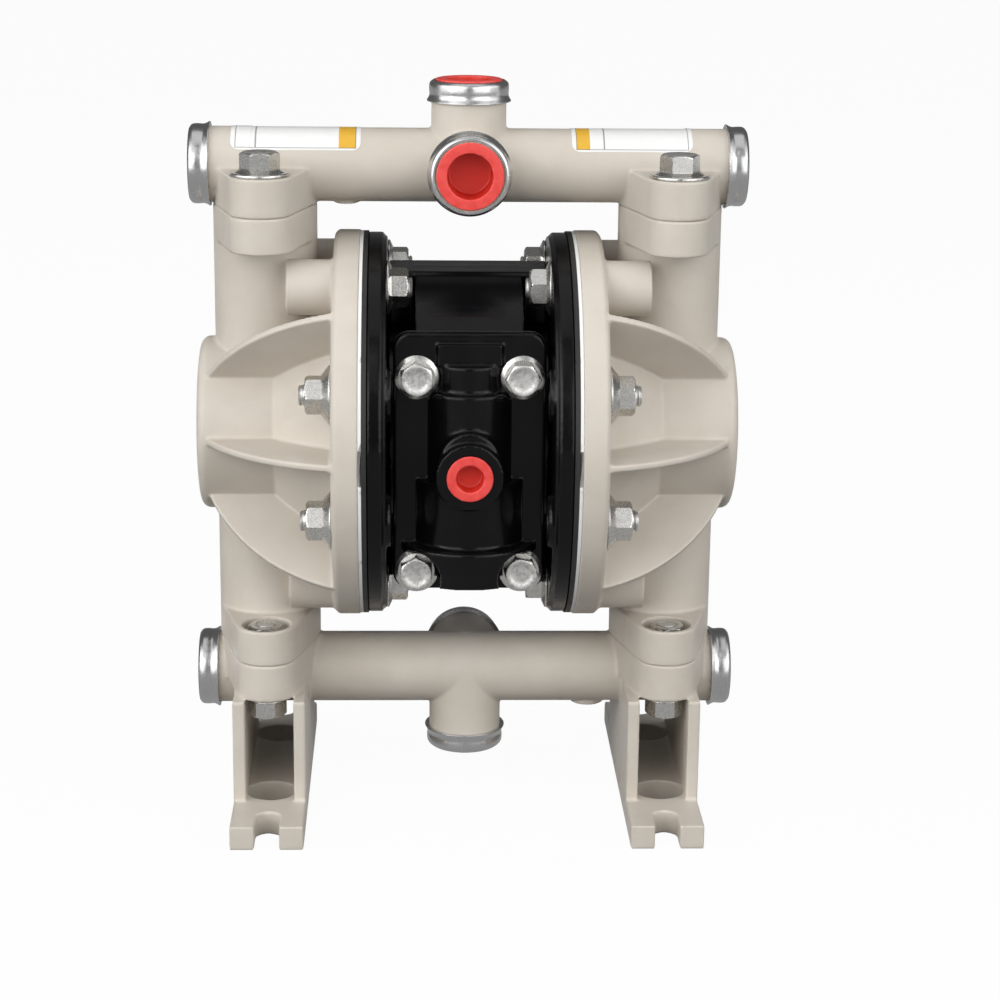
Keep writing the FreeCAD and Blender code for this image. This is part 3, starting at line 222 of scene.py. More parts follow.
def hexagon(across_corners: float, columns: int) -> Array:
    """Radius of a hexagon at each column: a / cos((angle mod 60) - 30), a half across its flats.

    Args:
        across_corners: radius of the circle through the corners.
        columns: points round the hexagon, a multiple of six.

    Returns:
        One radius for each column.
    """
    angle = np.linspace(0.0, 360.0, columns, endpoint=False) % 60.0 - 30.0
    return across_corners * math.cos(math.radians(30.0)) / np.cos(np.radians(angle))


class Value:
    """A number in a shader tree; an operator on it adds the Math node that works it out."""

    def __init__(self, recipe: "Recipe", socket: bpy.types.NodeSocket) -> None:
        """Wrap an output socket of a recipe's tree."""
        self.recipe = recipe
        self.socket = socket

    def _with(self, operation: str, first: "Number", second: "Number" = 0.0) -> "Value":
        """Math node of one operation on two numbers."""
        node = self.recipe.node("ShaderNodeMath", {0: first, 1: second}, operation=operation)
        return Value(self.recipe, node.outputs[0])

    def __add__(self, other: "Number") -> "Value":
        """Sum."""
        return self._with("ADD", self, other)

    def __sub__(self, other: "Number") -> "Value":
        """Difference."""
        return self._with("SUBTRACT", self, other)

    def __rsub__(self, other: "Number") -> "Value":
        """Difference with the number first."""
        return self._with("SUBTRACT", other, self)

    def __mul__(self, other: "Number") -> "Value":
        """Product."""
        return self._with("MULTIPLY", self, other)

    def above(self, limit: float) -> "Value":
        """1 where the number is over a limit, otherwise 0."""
        return self._with("GREATER_THAN", self, limit)

    def size(self) -> "Value":
        """The number without its sign."""
        return self._with("ABSOLUTE", self)

    def larger(self, other: "Number") -> "Value":
        """The larger of two numbers."""
        return self._with("MAXIMUM", self, other)

    def ramp(self, low: float, high: float, start: float = 0.0, end: float = 1.0) -> "Value":
        """Smooth step of the number.

        Args:
            low: where the step starts.
            high: where it ends.
            start: result at low.
            end: result at high.

        Returns:
            The stepped number.
        """
        node = self.recipe.node("ShaderNodeMapRange", {
            "Value": self, "From Min": low, "From Max": high, "To Min": start, "To Max": end},
            interpolation_type="SMOOTHSTEP")
        return Value(self.recipe, node.outputs[0])


Number = Union[Value, float]


class Tree:
    """A shader tree whose nodes are made, set and linked in one call."""

    def __init__(self, tree: bpy.types.NodeTree) -> None:
        """Take a tree over, emptied."""
        self.tree = tree
        tree.nodes.clear()

    def node(self, kind: str, inputs: Optional[dict] = None,
             **settings: Union[str, bool]) -> bpy.types.Node:
        """Any node, with its settings made first and its sockets filled after.

        Args:
            kind: the node's type.
            inputs: by socket number, identifier or name, a plain value, a socket or a Value.
            settings: properties of the node.

        Returns:
            The node.
        """
        node = self.tree.nodes.new(kind)
        for key, setting in settings.items():
            setattr(node, key, setting)
        for key, given in (inputs or {}).items():
            named = {socket.identifier: socket for socket in node.inputs}
            socket = named[key] if key in named else node.inputs[key]
            source = given.socket if isinstance(given, Value) else given
            if isinstance(source, bpy.types.NodeSocket):
                self.tree.links.new(source, socket)
            else:
                socket.default_value = source
        return node

    def shader(self, kind: str, inputs: dict) -> bpy.types.NodeSocket:
        """Output of a shader node."""
        return self.node(kind, inputs).outputs[0]

    def either(self, share: "Number", first: bpy.types.NodeSocket,
               second: bpy.types.NodeSocket) -> bpy.types.NodeSocket:
        """Mix of two shaders, the second's share given."""
        return self.shader("ShaderNodeMixShader", {0: share, 1: first, 2: second})

    def ray(self, kind: str) -> bpy.types.NodeSocket:
        """1 for rays of one kind, such as camera or glossy rays."""
        return self.node("ShaderNodeLightPath").outputs["Is %s Ray" % kind]


class Recipe(Tree):
    """A material whose tree is written as expressions over the piece's Object coordinates."""

    def __init__(self, name: str) -> None:
        """Start an empty material.

        Args:
            name: the material's name.
        """
        self.material = bpy.data.materials.new(name)
        self.material.use_nodes = True
        super().__init__(self.material.node_tree)
        self.place = self.node("ShaderNodeTexCoord").outputs["Object"]

    def stretched(self, scale: Sequence[float]) -> bpy.types.NodeSocket:
        """Object coordinates in millimetres, stretched by a factor on each axis."""
        factors = {0: self.place, 1: [factor / MM for factor in scale]}
        return self.node("ShaderNodeVectorMath", factors, operation="MULTIPLY").outputs[0]

    def parts(self, vector: bpy.types.NodeSocket) -> tuple[Value, Value, Value]:
        """The three numbers of a vector socket."""
        node = self.node("ShaderNodeSeparateXYZ", {0: vector})
        return tuple(Value(self, socket) for socket in node.outputs)

    def noise(self, grain: float, detail: float = 2.0, roughness: float = 0.5,
              stretch: Sequence[float] = (1.0, 1.0, 1.0)) -> Value:
        """Cloudy noise between 0 and 1.

        Args:
            grain: size of its features in millimetres.
            detail: octaves.
            roughness: share kept by each finer octave.
            stretch: factor on each axis, below 1 for streaks along it.

        Returns:
            The noise.
        """
        node = self.node("ShaderNodeTexNoise", {
            "Vector": self.stretched(stretch), "Scale": 1.0 / grain,
            "Detail": detail, "Roughness": roughness})
        return Value(self, node.outputs["Fac"])

    def cells(self, grain: float) -> Value:
        """Distance to the nearest of scattered points, for pits and specks.

        Args:
            grain: mean distance between the points in millimetres.

        Returns:
            The distance, about 0 to 1.
        """
        node = self.node("ShaderNodeTexVoronoi", {
            "Vector": self.stretched((1.0, 1.0, 1.0)), "Scale": 1.0 / grain})
        return Value(self, node.outputs["Distance"])

    def mix(self, share: Number, first: Union[Colour, bpy.types.NodeSocket],
            second: Union[Colour, bpy.types.NodeSocket]) -> bpy.types.NodeSocket:
        """Blend of two colours.

        Args:
            share: 0 for the first colour and 1 for the second.
            first: a colour or a colour socket.
            second: a colour or a colour socket.

        Returns:
            The blended colour.
        """
        ends = [(*end, 1.0) if isinstance(end, tuple) else end for end in (first, second)]
        inputs = {"Factor_Float": share, "A_Color": ends[0], "B_Color": ends[1]}
        return self.node("ShaderNodeMix", inputs, data_type="RGBA").outputs[MIXED_COLOUR]

    def mark(self) -> Value:
        """Mark of the surface, 1 on struck end faces and inside cups, which get painted shade."""
        node = self.node("ShaderNodeAttribute", attribute_name="mark")
        return Value(self, node.outputs["Fac"])

    def edges(self, low: float = 0.52, high: float = 0.62) -> Value:
        """1 on outer edges of a fine mesh and 0 on its flats."""
        node = self.node("ShaderNodeNewGeometry")
        return Value(self, node.outputs["Pointiness"]).ramp(low, high)

    def bump(self, height: Value, depth: float) -> bpy.types.NodeSocket:
        """Normal of a relief between 0 and 1, where 1 stands for a depth in millimetres."""
        return self.node("ShaderNodeBump", {"Height": height, "Distance": depth * MM}).outputs[0]

    def finished(self, **sockets: object) -> bpy.types.Material:
        """Close the tree with a Principled shader.

        Args:
            sockets: its inputs, named with underscores for blanks.

        Returns:
            The material.
        """
        inputs = {key.replace("_", " "): value for key, value in sockets.items()}
        surface = self.shader("ShaderNodeBsdfPrincipled", inputs)
        self.node("ShaderNodeOutputMaterial", {"Surface": surface})
        return self.material


@dataclass(frozen=True)
class MouldedPlastic:
    """Glass-filled plastic out of a mould: cloudy tone, fine specks, a faint orange peel and a
    painted highlight on outer edges.
    """

    name: str
    tone: Colour
    shade: Colour
    # Colour of the painted highlight on outer edges.
    edge: Colour
    roughness: float
    gloss: float
    peel: float = 0.018
    cloud: float = 22.0
    streak: float = 6.0
    speck: float = 0.35
    skin: float = 0.9
    fine_skin: float = 0.18
    # Share of the painted highlight on outer edges.
    painted_edge_highlight: float = 0.6

    def make(self) -> bpy.types.Material:
        """Build the material.

        Returns:
            The material.
        """
        recipe = Recipe(self.name)
        clouds = recipe.noise(self.cloud, 4.0, 0.6)
        flow = recipe.noise(self.streak, 3.0, 0.6, (1.0, 1.0, 0.35))
        specks = recipe.noise(self.speck, 2.0, 0.7)
        tone = recipe.mix(clouds.ramp(0.35, 0.7), self.tone, self.shade)
        tone = recipe.mix(specks.ramp(0.62, 0.78, 0.0, 0.35), tone, self.shade)
        # Painted highlight: outer edges are lightened towards the edge colour, standing in for
        # light caught on rounded edges.
        tone = recipe.mix(recipe.edges() * self.painted_edge_highlight, tone, self.edge)
        relief = recipe.noise(self.skin) * 0.75 + recipe.noise(self.fine_skin, 1.0) * 0.25
        return recipe.finished(
            Base_Color=tone,
            Roughness=flow.ramp(0.3, 0.75, self.roughness - 0.05, self.roughness + 0.06),
            Normal=recipe.bump(relief, self.peel),
            Specular_IOR_Level=self.gloss,
        )


@dataclass(frozen=True)
class BrushedSteel:
    """Rolled stainless sheet: faint fine lines round its axis, soft smears and a smooth sheen."""

    name: str
    streaks: tuple[float, float, float]
    bright: Colour = (0.66, 0.66, 0.665)
    dull: Colour = (0.56, 0.56, 0.565)
    roughness: float = 0.25
    line: float = 0.28
    smear: float = 5.0
    relief: float = 0.0025

    def make(self) -> bpy.types.Material:
        """Build the material.

        Returns:
            The material.
        """
        recipe = Recipe(self.name)
        lines = recipe.noise(self.line, 2.0, 0.6, self.streaks)
        smears = recipe.noise(self.smear, 3.0, 0.6)
        tone = recipe.mix(lines.ramp(0.25, 0.75), self.dull, self.bright)
        tone = recipe.mix(smears.ramp(0.45, 0.8, 0.0, 0.3), tone, self.dull)
        rough = smears.ramp(0.3, 0.8, self.roughness - 0.03, self.roughness + 0.06)
        return recipe.finished(Base_Color=tone, Roughness=rough, Metallic=1.0,
                               Normal=recipe.bump(lines, self.relief))


@dataclass(frozen=True)
class PlatedSteel:
    """Plated screw steel: even sides, and pitted, mottled end faces where the tool struck."""

    name: str
    bright: Colour = (0.70, 0.69, 0.665)
    dull: Colour = (0.40, 0.395, 0.385)
    roughness: float = 0.25
    pits: float = 0.05
    blotch: float = 1.3
    grit: float = 0.4
    wave: float = 2.4
    pit_spacing: float = 1.15

    def make(self) -> bpy.types.Material:
        """Build the material.

        Returns:
            The material.
        """
        recipe = Recipe(self.name)
        struck = recipe.mark()
        mottle = recipe.noise(self.blotch, 4.0, 0.65)
        grain = recipe.noise(self.grit, 3.0, 0.6)
        waves = recipe.noise(self.wave, 1.0, 0.4)
        holes = (1.0 - recipe.cells(self.pit_spacing).ramp(0.06, 0.3)) * struck
        tone = recipe.mix(mottle.ramp(0.40, 0.66, 0.0, 0.35), self.bright, self.dull)
        tone = recipe.mix(mottle.ramp(0.48, 0.62, 0.0, 0.55) * struck, tone, self.dull)
        tone = recipe.mix(holes * 0.5, tone, self.dull)
        relief = (mottle * 0.8 + grain * 0.1) * struck + waves * 0.12 + (1.0 - holes) * 0.3
        return recipe.finished(
            Base_Color=tone, Metallic=1.0,
            Roughness=(grain.ramp(0.3, 0.7, -0.03, 0.07) + struck * 0.2) + self.roughness,
            Normal=recipe.bump(relief, self.pits))


@dataclass(frozen=True)
class SoftVinyl:
    """Dipped vinyl of the shipping plugs: faint cloud, a painted pale highlight on the rims and
    painted shade inside the cup.
    """

    name: str = "coral red vinyl"
    tone: Colour = (0.84, 0.085, 0.075)
    shade: Colour = (0.74, 0.05, 0.042)
    # Colour of the painted shade inside the cup.
    inside: Colour = (0.66, 0.030, 0.016)
    # Colour of the painted highlight on the rims.
    rim: Colour = (0.90, 0.28, 0.24)
    roughness: float = 0.42
    gloss: float = 0.45
    cloud: float = 4.0
    skin: float = 0.7
    skin_depth: float = 0.02
    # Share of the painted highlight on the rims.
    painted_edge_highlight: float = 0.6

    def make(self) -> bpy.types.Material:
        """Build the material.

        Returns:
            The material.
        """
        recipe = Recipe(self.name)
        clouds = recipe.noise(self.cloud, 3.0, 0.6)
        tone = recipe.mix(clouds.ramp(0.35, 0.75), self.tone, self.shade)
        # Painted highlight: rims are lightened towards a pale colour.
        tone = recipe.mix(recipe.edges() * self.painted_edge_highlight, tone, self.rim)
        # Painted shade: the marked inside of the cup is darkened.
        tone = recipe.mix(recipe.mark(), tone, self.inside)
        return recipe.finished(
            Base_Color=tone,
            Roughness=clouds.ramp(0.3, 0.8, self.roughness - 0.05, self.roughness + 0.08),
            Normal=recipe.bump(recipe.noise(self.skin), self.skin_depth),
            Specular_IOR_Level=self.gloss)


@dataclass(frozen=True)
class PrintedFilm:
    """Blank sticker: white film with one coloured end block and thin frame lines.

    Its own UV map runs from 0 to 1 along the tube (u) and round it (v).
    """

    name: str
    block_start: float
    block_end: float
    divider: float
    paper: tuple[Colour, Colour] = ((0.86, 0.86, 0.85), (0.80, 0.80, 0.79))
    amber: tuple[Colour, Colour] = ((0.80, 0.47, 0.035), (0.70, 0.38, 0.03))
    ink: Colour = (0.12, 0.12, 0.13)
    print_edge: tuple[float, float] = (0.466, 0.468)
    line_edge: tuple[float, float] = (0.459, 0.456)
    divider_half: float = 0.006

    def make(self) -> bpy.types.Material:
        """Build the material.

        Returns:
            The material.
        """
        recipe = Recipe(self.name)
        uv = recipe.node("ShaderNodeUVMap").outputs[0]
        across, around, _ = recipe.parts(uv)
        centre = (self.block_start + self.block_end) / 2.0
        half = (self.block_end - self.block_start) / 2.0
        block = 1.0 - (across - centre).size().above(half)
        frame_u = (across - 0.5).size()
        frame_v = (around - 0.5).size()
        outside = frame_u.above(self.print_edge[0]).larger(frame_v.above(self.print_edge[1]))
        inner = frame_u.above(self.line_edge[0]).larger(frame_v.above(self.line_edge[1]))
        line = inner * (1.0 - outside)
        split = 1.0 - (across - self.divider).size().above(self.divider_half)
        fade = recipe.noise(3.0, 3.0, 0.6)
        tone = recipe.mix(fade, *self.paper)
        tone = recipe.mix(block * (1.0 - outside), tone, recipe.mix(fade, *self.amber))
        tone = recipe.mix(line.larger(split * (1.0 - inner)) * 0.75, tone, self.ink)
        return recipe.finished(Base_Color=tone, Roughness=fade.ramp(0.3, 0.7, 0.3, 0.4),
                               Normal=recipe.bump(fade, 0.01), Coat_Weight=0.2)


class Finish(Enum):
    """Every finish on the pump, by what it covers."""

    # In each moulded plastic the third colour is its painted highlight on outer edges.
    BEIGE = MouldedPlastic("beige filled plastic", (0.624, 0.576, 0.508), (0.584, 0.534, 0.464),
                           (0.70, 0.66, 0.585), 0.42, 0.42)
    BLACK = MouldedPlastic("gloss black plastic", (0.0028, 0.0028, 0.0034),
                           (0.0042, 0.0042, 0.0050), (0.02, 0.02, 0.022), 0.2, 0.22, 0.008)
    BAND_X = BrushedSteel("stainless band round x", (2.5, 0.12, 0.12))
    BAND_Y = BrushedSteel("stainless band round y", (0.12, 2.5, 0.12))
    BAND_Z = BrushedSteel("stainless band round z", (0.12, 0.12, 2.5))
    SCREW = PlatedSteel("plated screw steel")
    WASHER = PlatedSteel("plated washer steel", (0.64, 0.63, 0.60), (0.45, 0.44, 0.43), 0.24)
    VINYL = SoftVinyl()
    WHITE_SHEET = MouldedPlastic("white sheet", (0.80, 0.80, 0.79), (0.74, 0.74, 0.72),
                                 (0.85, 0.85, 0.84), 0.45, 0.4)
    RUBBER = MouldedPlastic("black rubber", (0.012, 0.012, 0.012), (0.02, 0.02, 0.02),
                            (0.04, 0.04, 0.04), 0.55, 0.3)
    SEAT = MouldedPlastic("seat plastic", (0.50, 0.49, 0.46), (0.44, 0.43, 0.40),
                          (0.6, 0.59, 0.56), 0.4, 0.4)
    PLATE = MouldedPlastic("plate plastic", (0.05, 0.05, 0.055), (0.035, 0.035, 0.04),
                           (0.1, 0.1, 0.1), 0.4, 0.4)
    MACHINED = BrushedSteel("machined steel", (0.6, 0.6, 0.6), roughness=0.22)
    LEFT_STICKER = PrintedFilm("left sticker", 0.832, 0.964, 0.192)
    RIGHT_STICKER = PrintedFilm("right sticker", 0.013, 0.148, 0.266)

    def material(self) -> bpy.types.Material:
        """The finish's material, made once."""
        return bpy.data.materials.get(self.value.name) or self.value.make()


def mesh_object(name: str, surface: Surface, sharp: float = 32.0) -> bpy.types.Object:
    """Object at the origin whose mesh holds a surface's points in metres.

    Args:
        name: the object's name.
        surface: points in millimetres and faces.
        sharp: degrees between faces past which an edge stays sharp.

    Returns:
        The object, linked into the scene.
    """
    mesh = bpy.data.meshes.new(name)
    faces = [row for block in surface.faces for row in block.tolist()]
    mesh.from_pydata(surface.points * MM, [], faces)
    mesh.shade_smooth()
    mesh.set_sharp_from_angle(angle=math.radians(sharp))
    mesh.attributes.new("mark", "FLOAT", "POINT").data.foreach_set(
        "value", surface.marks.astype(np.float32))
    mesh.validate()
    piece = bpy.data.objects.new(name, mesh)
    bpy.context.scene.collection.objects.link(piece)
    return piece


def node_copy(node: str, name: str) -> bpy.types.Object:
    """Copy of a CAD node's mesh with its loose triangles merged.

    Args:
        node: the CAD node.
        name: the new object's name.

    Returns:
        The new object at the origin.
    """
    mesh = bpy.data.meshes.new(name)
    work = bmesh.new()
    work.from_mesh(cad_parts[node].data)
    bmesh.ops.remove_doubles(work, verts=work.verts, dist=1e-6)
    work.to_mesh(mesh)
    work.free()
    piece = bpy.data.objects.new(name, mesh)
    bpy.context.scene.collection.objects.link(piece)
    return piece


def settle(piece: bpy.types.Object) -> None:
    """Turn a piece's modifiers into its mesh.

    Args:
        piece: the object.
    """
    graph = bpy.context.evaluated_depsgraph_get()
    mesh = bpy.data.meshes.new_from_object(piece.evaluated_get(graph), depsgraph=graph)
    piece.modifiers.clear()
    piece.data = mesh


def hand_over(piece: bpy.types.Object, finish: Finish, body: str, slot: str, *nodes: str) -> None:
    """Dress a piece, tie it to a body and let it stand for CAD nodes.

    Args:
        piece: the finished object.
        finish: its finish.
        body: the body that it rides on.
        slot: not used.
        nodes: the CAD nodes that it replaces.
    """
    piece.data.materials.clear()
    piece.data.materials.append(finish.material())
    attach(piece, body)
    if nodes:
        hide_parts(*nodes)
    log.info("%s: %d faces", piece.name, len(piece.data.polygons))


@dataclass
class Castings:
    """The moulded bodies, with the small roundings that a mould leaves on every edge."""

    voxel: float = 0.6
    quick_voxel: float = 1.2
    passes: int = 3
    triangles: int = 180000
    beige: tuple[str, ...] = ("fluid_cap_left", "fluid_cap_right", "outlet_manifold",
                              "inlet_manifold")
    black: tuple[str, ...] = ("air_cap_left", "air_cap_right", "center_body", "valve_block",
                              "exhaust_cover")

    def rounded_copy(self, node: str) -> bpy.types.Object:
        """Copy of a CAD solid remade on a fine grid, then eased, so edges and inner corners round.

        Args:
            node: the CAD node.

        Returns:
            The rounded object.
        """
        piece = node_copy(node, node + "_moulded")
        remesh = piece.modifiers.new("grid", "REMESH")
        remesh.mode = "VOXEL"
        remesh.voxel_size = self.voxel * MM
        ease = piece.modifiers.new("ease", "SMOOTH")
        ease.factor = 0.5
        ease.iterations = self.passes
        settle(piece)
        found = sum(len(face.vertices) - 2 for face in piece.data.polygons)
        if found > self.triangles:
            thin = piece.modifiers.new("thin", "DECIMATE")
            thin.ratio = self.triangles / found
            settle(piece)
        piece.data.shade_smooth()
        return piece

    def build(self) -> None:
        """Make and dress every moulded body."""
        for nodes, finish, slot in ((self.beige, Finish.BEIGE, "beige_plastic"),
                                    (self.black, Finish.BLACK, "black_plastic")):
            for node in nodes:
                hand_over(self.rounded_copy(node), finish, "pump", slot, node)


@dataclass(frozen=True)
class Port:
    """One banded fluid port: its header's height, where it points and how far out it reaches."""

    name: str
    height: float
    axis: Axis
    reach: float
    finish: Finish
    plugged: bool = False

    def spot(self, inset: float = 0.0) -> Array:
        """Middle of the port's face, or of a plane a little inside it."""
        return np.array((0.0, 0.0, self.height)) + (self.reach - inset) * np.array(self.axis.value)


PORTS = (
    Port("outlet_left", UPPER_HEADER, Axis.LEFT, SIDE_REACH, Finish.BAND_X),
    Port("outlet_right", UPPER_HEADER, Axis.RIGHT, SIDE_REACH, Finish.BAND_X),
    Port("outlet_top", UPPER_HEADER, Axis.UP, BRANCH_REACH, Finish.BAND_Z, True),
    Port("outlet_front", UPPER_HEADER, Axis.FRONT, BRANCH_REACH, Finish.BAND_Y, True),
    Port("inlet_left", LOWER_HEADER, Axis.LEFT, SIDE_REACH, Finish.BAND_X),
    Port("inlet_right", LOWER_HEADER, Axis.RIGHT, SIDE_REACH, Finish.BAND_X),
    Port("inlet_bottom", LOWER_HEADER, Axis.DOWN, BRANCH_REACH, Finish.BAND_Z),
    Port("inlet_rear", LOWER_HEADER, Axis.BACK, BRANCH_REACH, Finish.BAND_Y),
)


@dataclass
class PortBands:
    """Stainless bands pressed round the ports: flared skirt behind, rounded lip in front."""

    inner: float = 14.05
    waist: float = 14.65
    waist_height: float = 2.1
    swell: float = 14.95
    swell_height: float = 4.6
    front: float = 14.7
    skirt: float = 15.7
    skirt_height: float = 0.35
    lip: float = 13.2
    length: float = 7.7
    sheet: float = 0.8

    def shell(self) -> Surface:
        """Band round Z with its front at height 0, a rounded profile turned through a full circle.

        From the skirt's edge the profile falls in to a waist, swells a little and closes to the
        lip.

        Returns:
            The band.
        """
        back = -self.length
        corners = ((self.inner, back), (self.skirt, back), (self.skirt, back + self.skirt_height),
                   (self.waist, back + self.waist_height), (self.swell, back + self.swell_height),
                   (self.front, 0.0), (self.lip, 0.0), (self.lip, -self.sheet),
                   (self.inner, -self.sheet))
        profile = rounded(corners, (0.1, 0.12, 0.15, 3.4, 11.0, 1.9, 0.35, 0.25, 0.1), 6, True)
        return turned(profile[:, 0], profile[:, 1], 128, True)

    def build(self) -> None:
        """Make and dress the eight bands."""
        for port in PORTS:
            node = port.name.replace("_", "_band_")
            piece = mesh_object(node + "_rolled", self.shell().placed(port.spot(), port.axis))
            hand_over(piece, port.finish, "pump", "stainless_band", node)


@dataclass
class PortThreads:
    """Pipe thread inside the open ports, a ring whose bore follows one long helix."""

    crest: float = 9.55
    root: float = 10.45
    wall: float = 0.5
    pitch: float = 1.8
    length: float = 13.0
    inset: float = 1.2
    rows: int = 58
    columns: int = 72

    def shell(self) -> Surface:
        """Ring from height -length to 0, fading out over two turns at its inner end.

        Bore radius = crest + depth |2 ((z / pitch - a / 2 pi) mod 1) - 1|.

        Returns:
            The ring.
        """
        height = np.linspace(0.0, -self.length, self.rows)[:, None]
        angle = np.linspace(0.0, 1.0, self.columns, endpoint=False)[None, :]
        wave = np.abs(2.0 * np.mod(height / self.pitch - angle, 1.0) - 1.0)
        fade = np.clip((self.length + height) / (2.0 * self.pitch), 0.0, 1.0)
        bore = self.root - (self.root - self.crest) * wave * fade
        radii = np.vstack((np.full((2, self.columns), self.root + self.wall), bore))
        heights = np.vstack((np.full((1, self.columns), -self.length), np.zeros((1, self.columns)),
                             np.broadcast_to(height, bore.shape)))
        return turned(radii, heights, self.columns, True)

    def build(self) -> None:
        """Line the open ports."""
        for port in PORTS:
            if not port.plugged:
                shell = self.shell().placed(port.spot(self.inset), port.axis)
                piece = mesh_object("thread_" + port.name, shell, 50.0)
                hand_over(piece, Finish.BEIGE, "pump", "beige_plastic")


@dataclass
class HexHead:
    """Forged hex head or nut: round flange, chamfered hexagon and what shows in its end face."""

    hex_radius: float
    hex_height: float
    flange_radius: float
    flange_edge: float
    flange_height: float
    stud: float = 0.0
    dish: float = 0.0
    stud_radius: float = 3.9
    stud_pitch: float = 1.25
    thread_depth: float = 0.42
    thread_rows: int = 22
    face_share: float = 0.965
    chamfer: float = 30.0
    columns: int = 96

    def shell(self) -> Surface:
        """Head standing on Z = 0, as rows from the flange to the end face.

        Each row's radius is min(hexagon, cone), the cone being the chamfer that cuts the hexagon's
        corners. The end face is either dished or carries a threaded stud end.

        Returns:
            The head.
        """
        hexagonal = hexagon(self.hex_radius, self.columns)
        face = self.hex_radius * math.cos(math.radians(30.0)) * self.face_share
        top = self.flange_height + self.hex_height
        edge = rounded(((0.0, 0.0), (self.flange_radius, 0.0),
                        (self.flange_radius, self.flange_edge),
                        (self.hex_radius + 0.1, self.flange_height)), (0, 0.25, 0.35, 0), 4)
        rows = [np.broadcast_to(radius, (self.columns,)) for radius in edge[:, 0]]
        levels = list(edge[:, 1])
        slope = math.tan(math.radians(self.chamfer))
        for share in (0.0, 0.04, 0.5, 0.72, 0.80, 0.86, 0.91, 0.95, 0.98, 1.0):
            level = self.flange_height + self.hex_height * share
            rows.append(np.minimum(hexagonal, face + (top - level) / slope))
            levels.append(level)
        if self.stud > 0.0:
            inner, heights = self._threaded_end(face, top)
        else:
            inner = np.array((0.93, 0.80, 0.72, 0.60, 0.45, 0.2, 0.0)) * face
            heights = top - self.dish * np.array((0.0, 0.05, 0.45, 0.8, 0.95, 1.0, 1.0))
        marks = np.concatenate((np.zeros(len(rows) - 1), np.ones(len(inner) + 1)))
        radii = [np.broadcast_to(row, (self.columns,)) for row in (*rows, *inner)]
        grid = [np.broadcast_to(level, (self.columns,)) for level in (*levels, *heights)]
        return turned(np.vstack(radii), np.vstack(grid), self.columns, marks=marks)

    def _threaded_end(self, face: float, top: float) -> tuple[Array, Array]:
        """Rows of the countersunk face and of the stud end, whose radius follows a helix.

        Args:
            face: radius of the end face.
            top: height of the end face.

        Returns:
            Radii and heights, one row each.
        """
        sink = np.array(((face * 0.9, top), (self.stud_radius + 0.55, top),
                         (self.stud_radius + 0.05, top - 0.5)))
        along = np.linspace(-0.4, self.stud - 0.5, self.thread_rows)[:, None]
        turn = np.linspace(0.0, 1.0, self.columns, endpoint=False)[None, :]
        wave = np.abs(2.0 * np.mod(along / self.stud_pitch - turn, 1.0) - 1.0)
        ones = np.ones((1, self.columns))
        end = np.array((self.stud_radius - 0.75, 1.2, 0.0))[:, None] * ones
        radii = np.vstack((sink[:, :1] * ones, self.stud_radius - self.thread_depth * wave, end))
        heights = np.vstack((sink[:, 1:] * ones, top + along * ones,
                             np.full((3, self.columns), top + self.stud)))
        return radii, heights


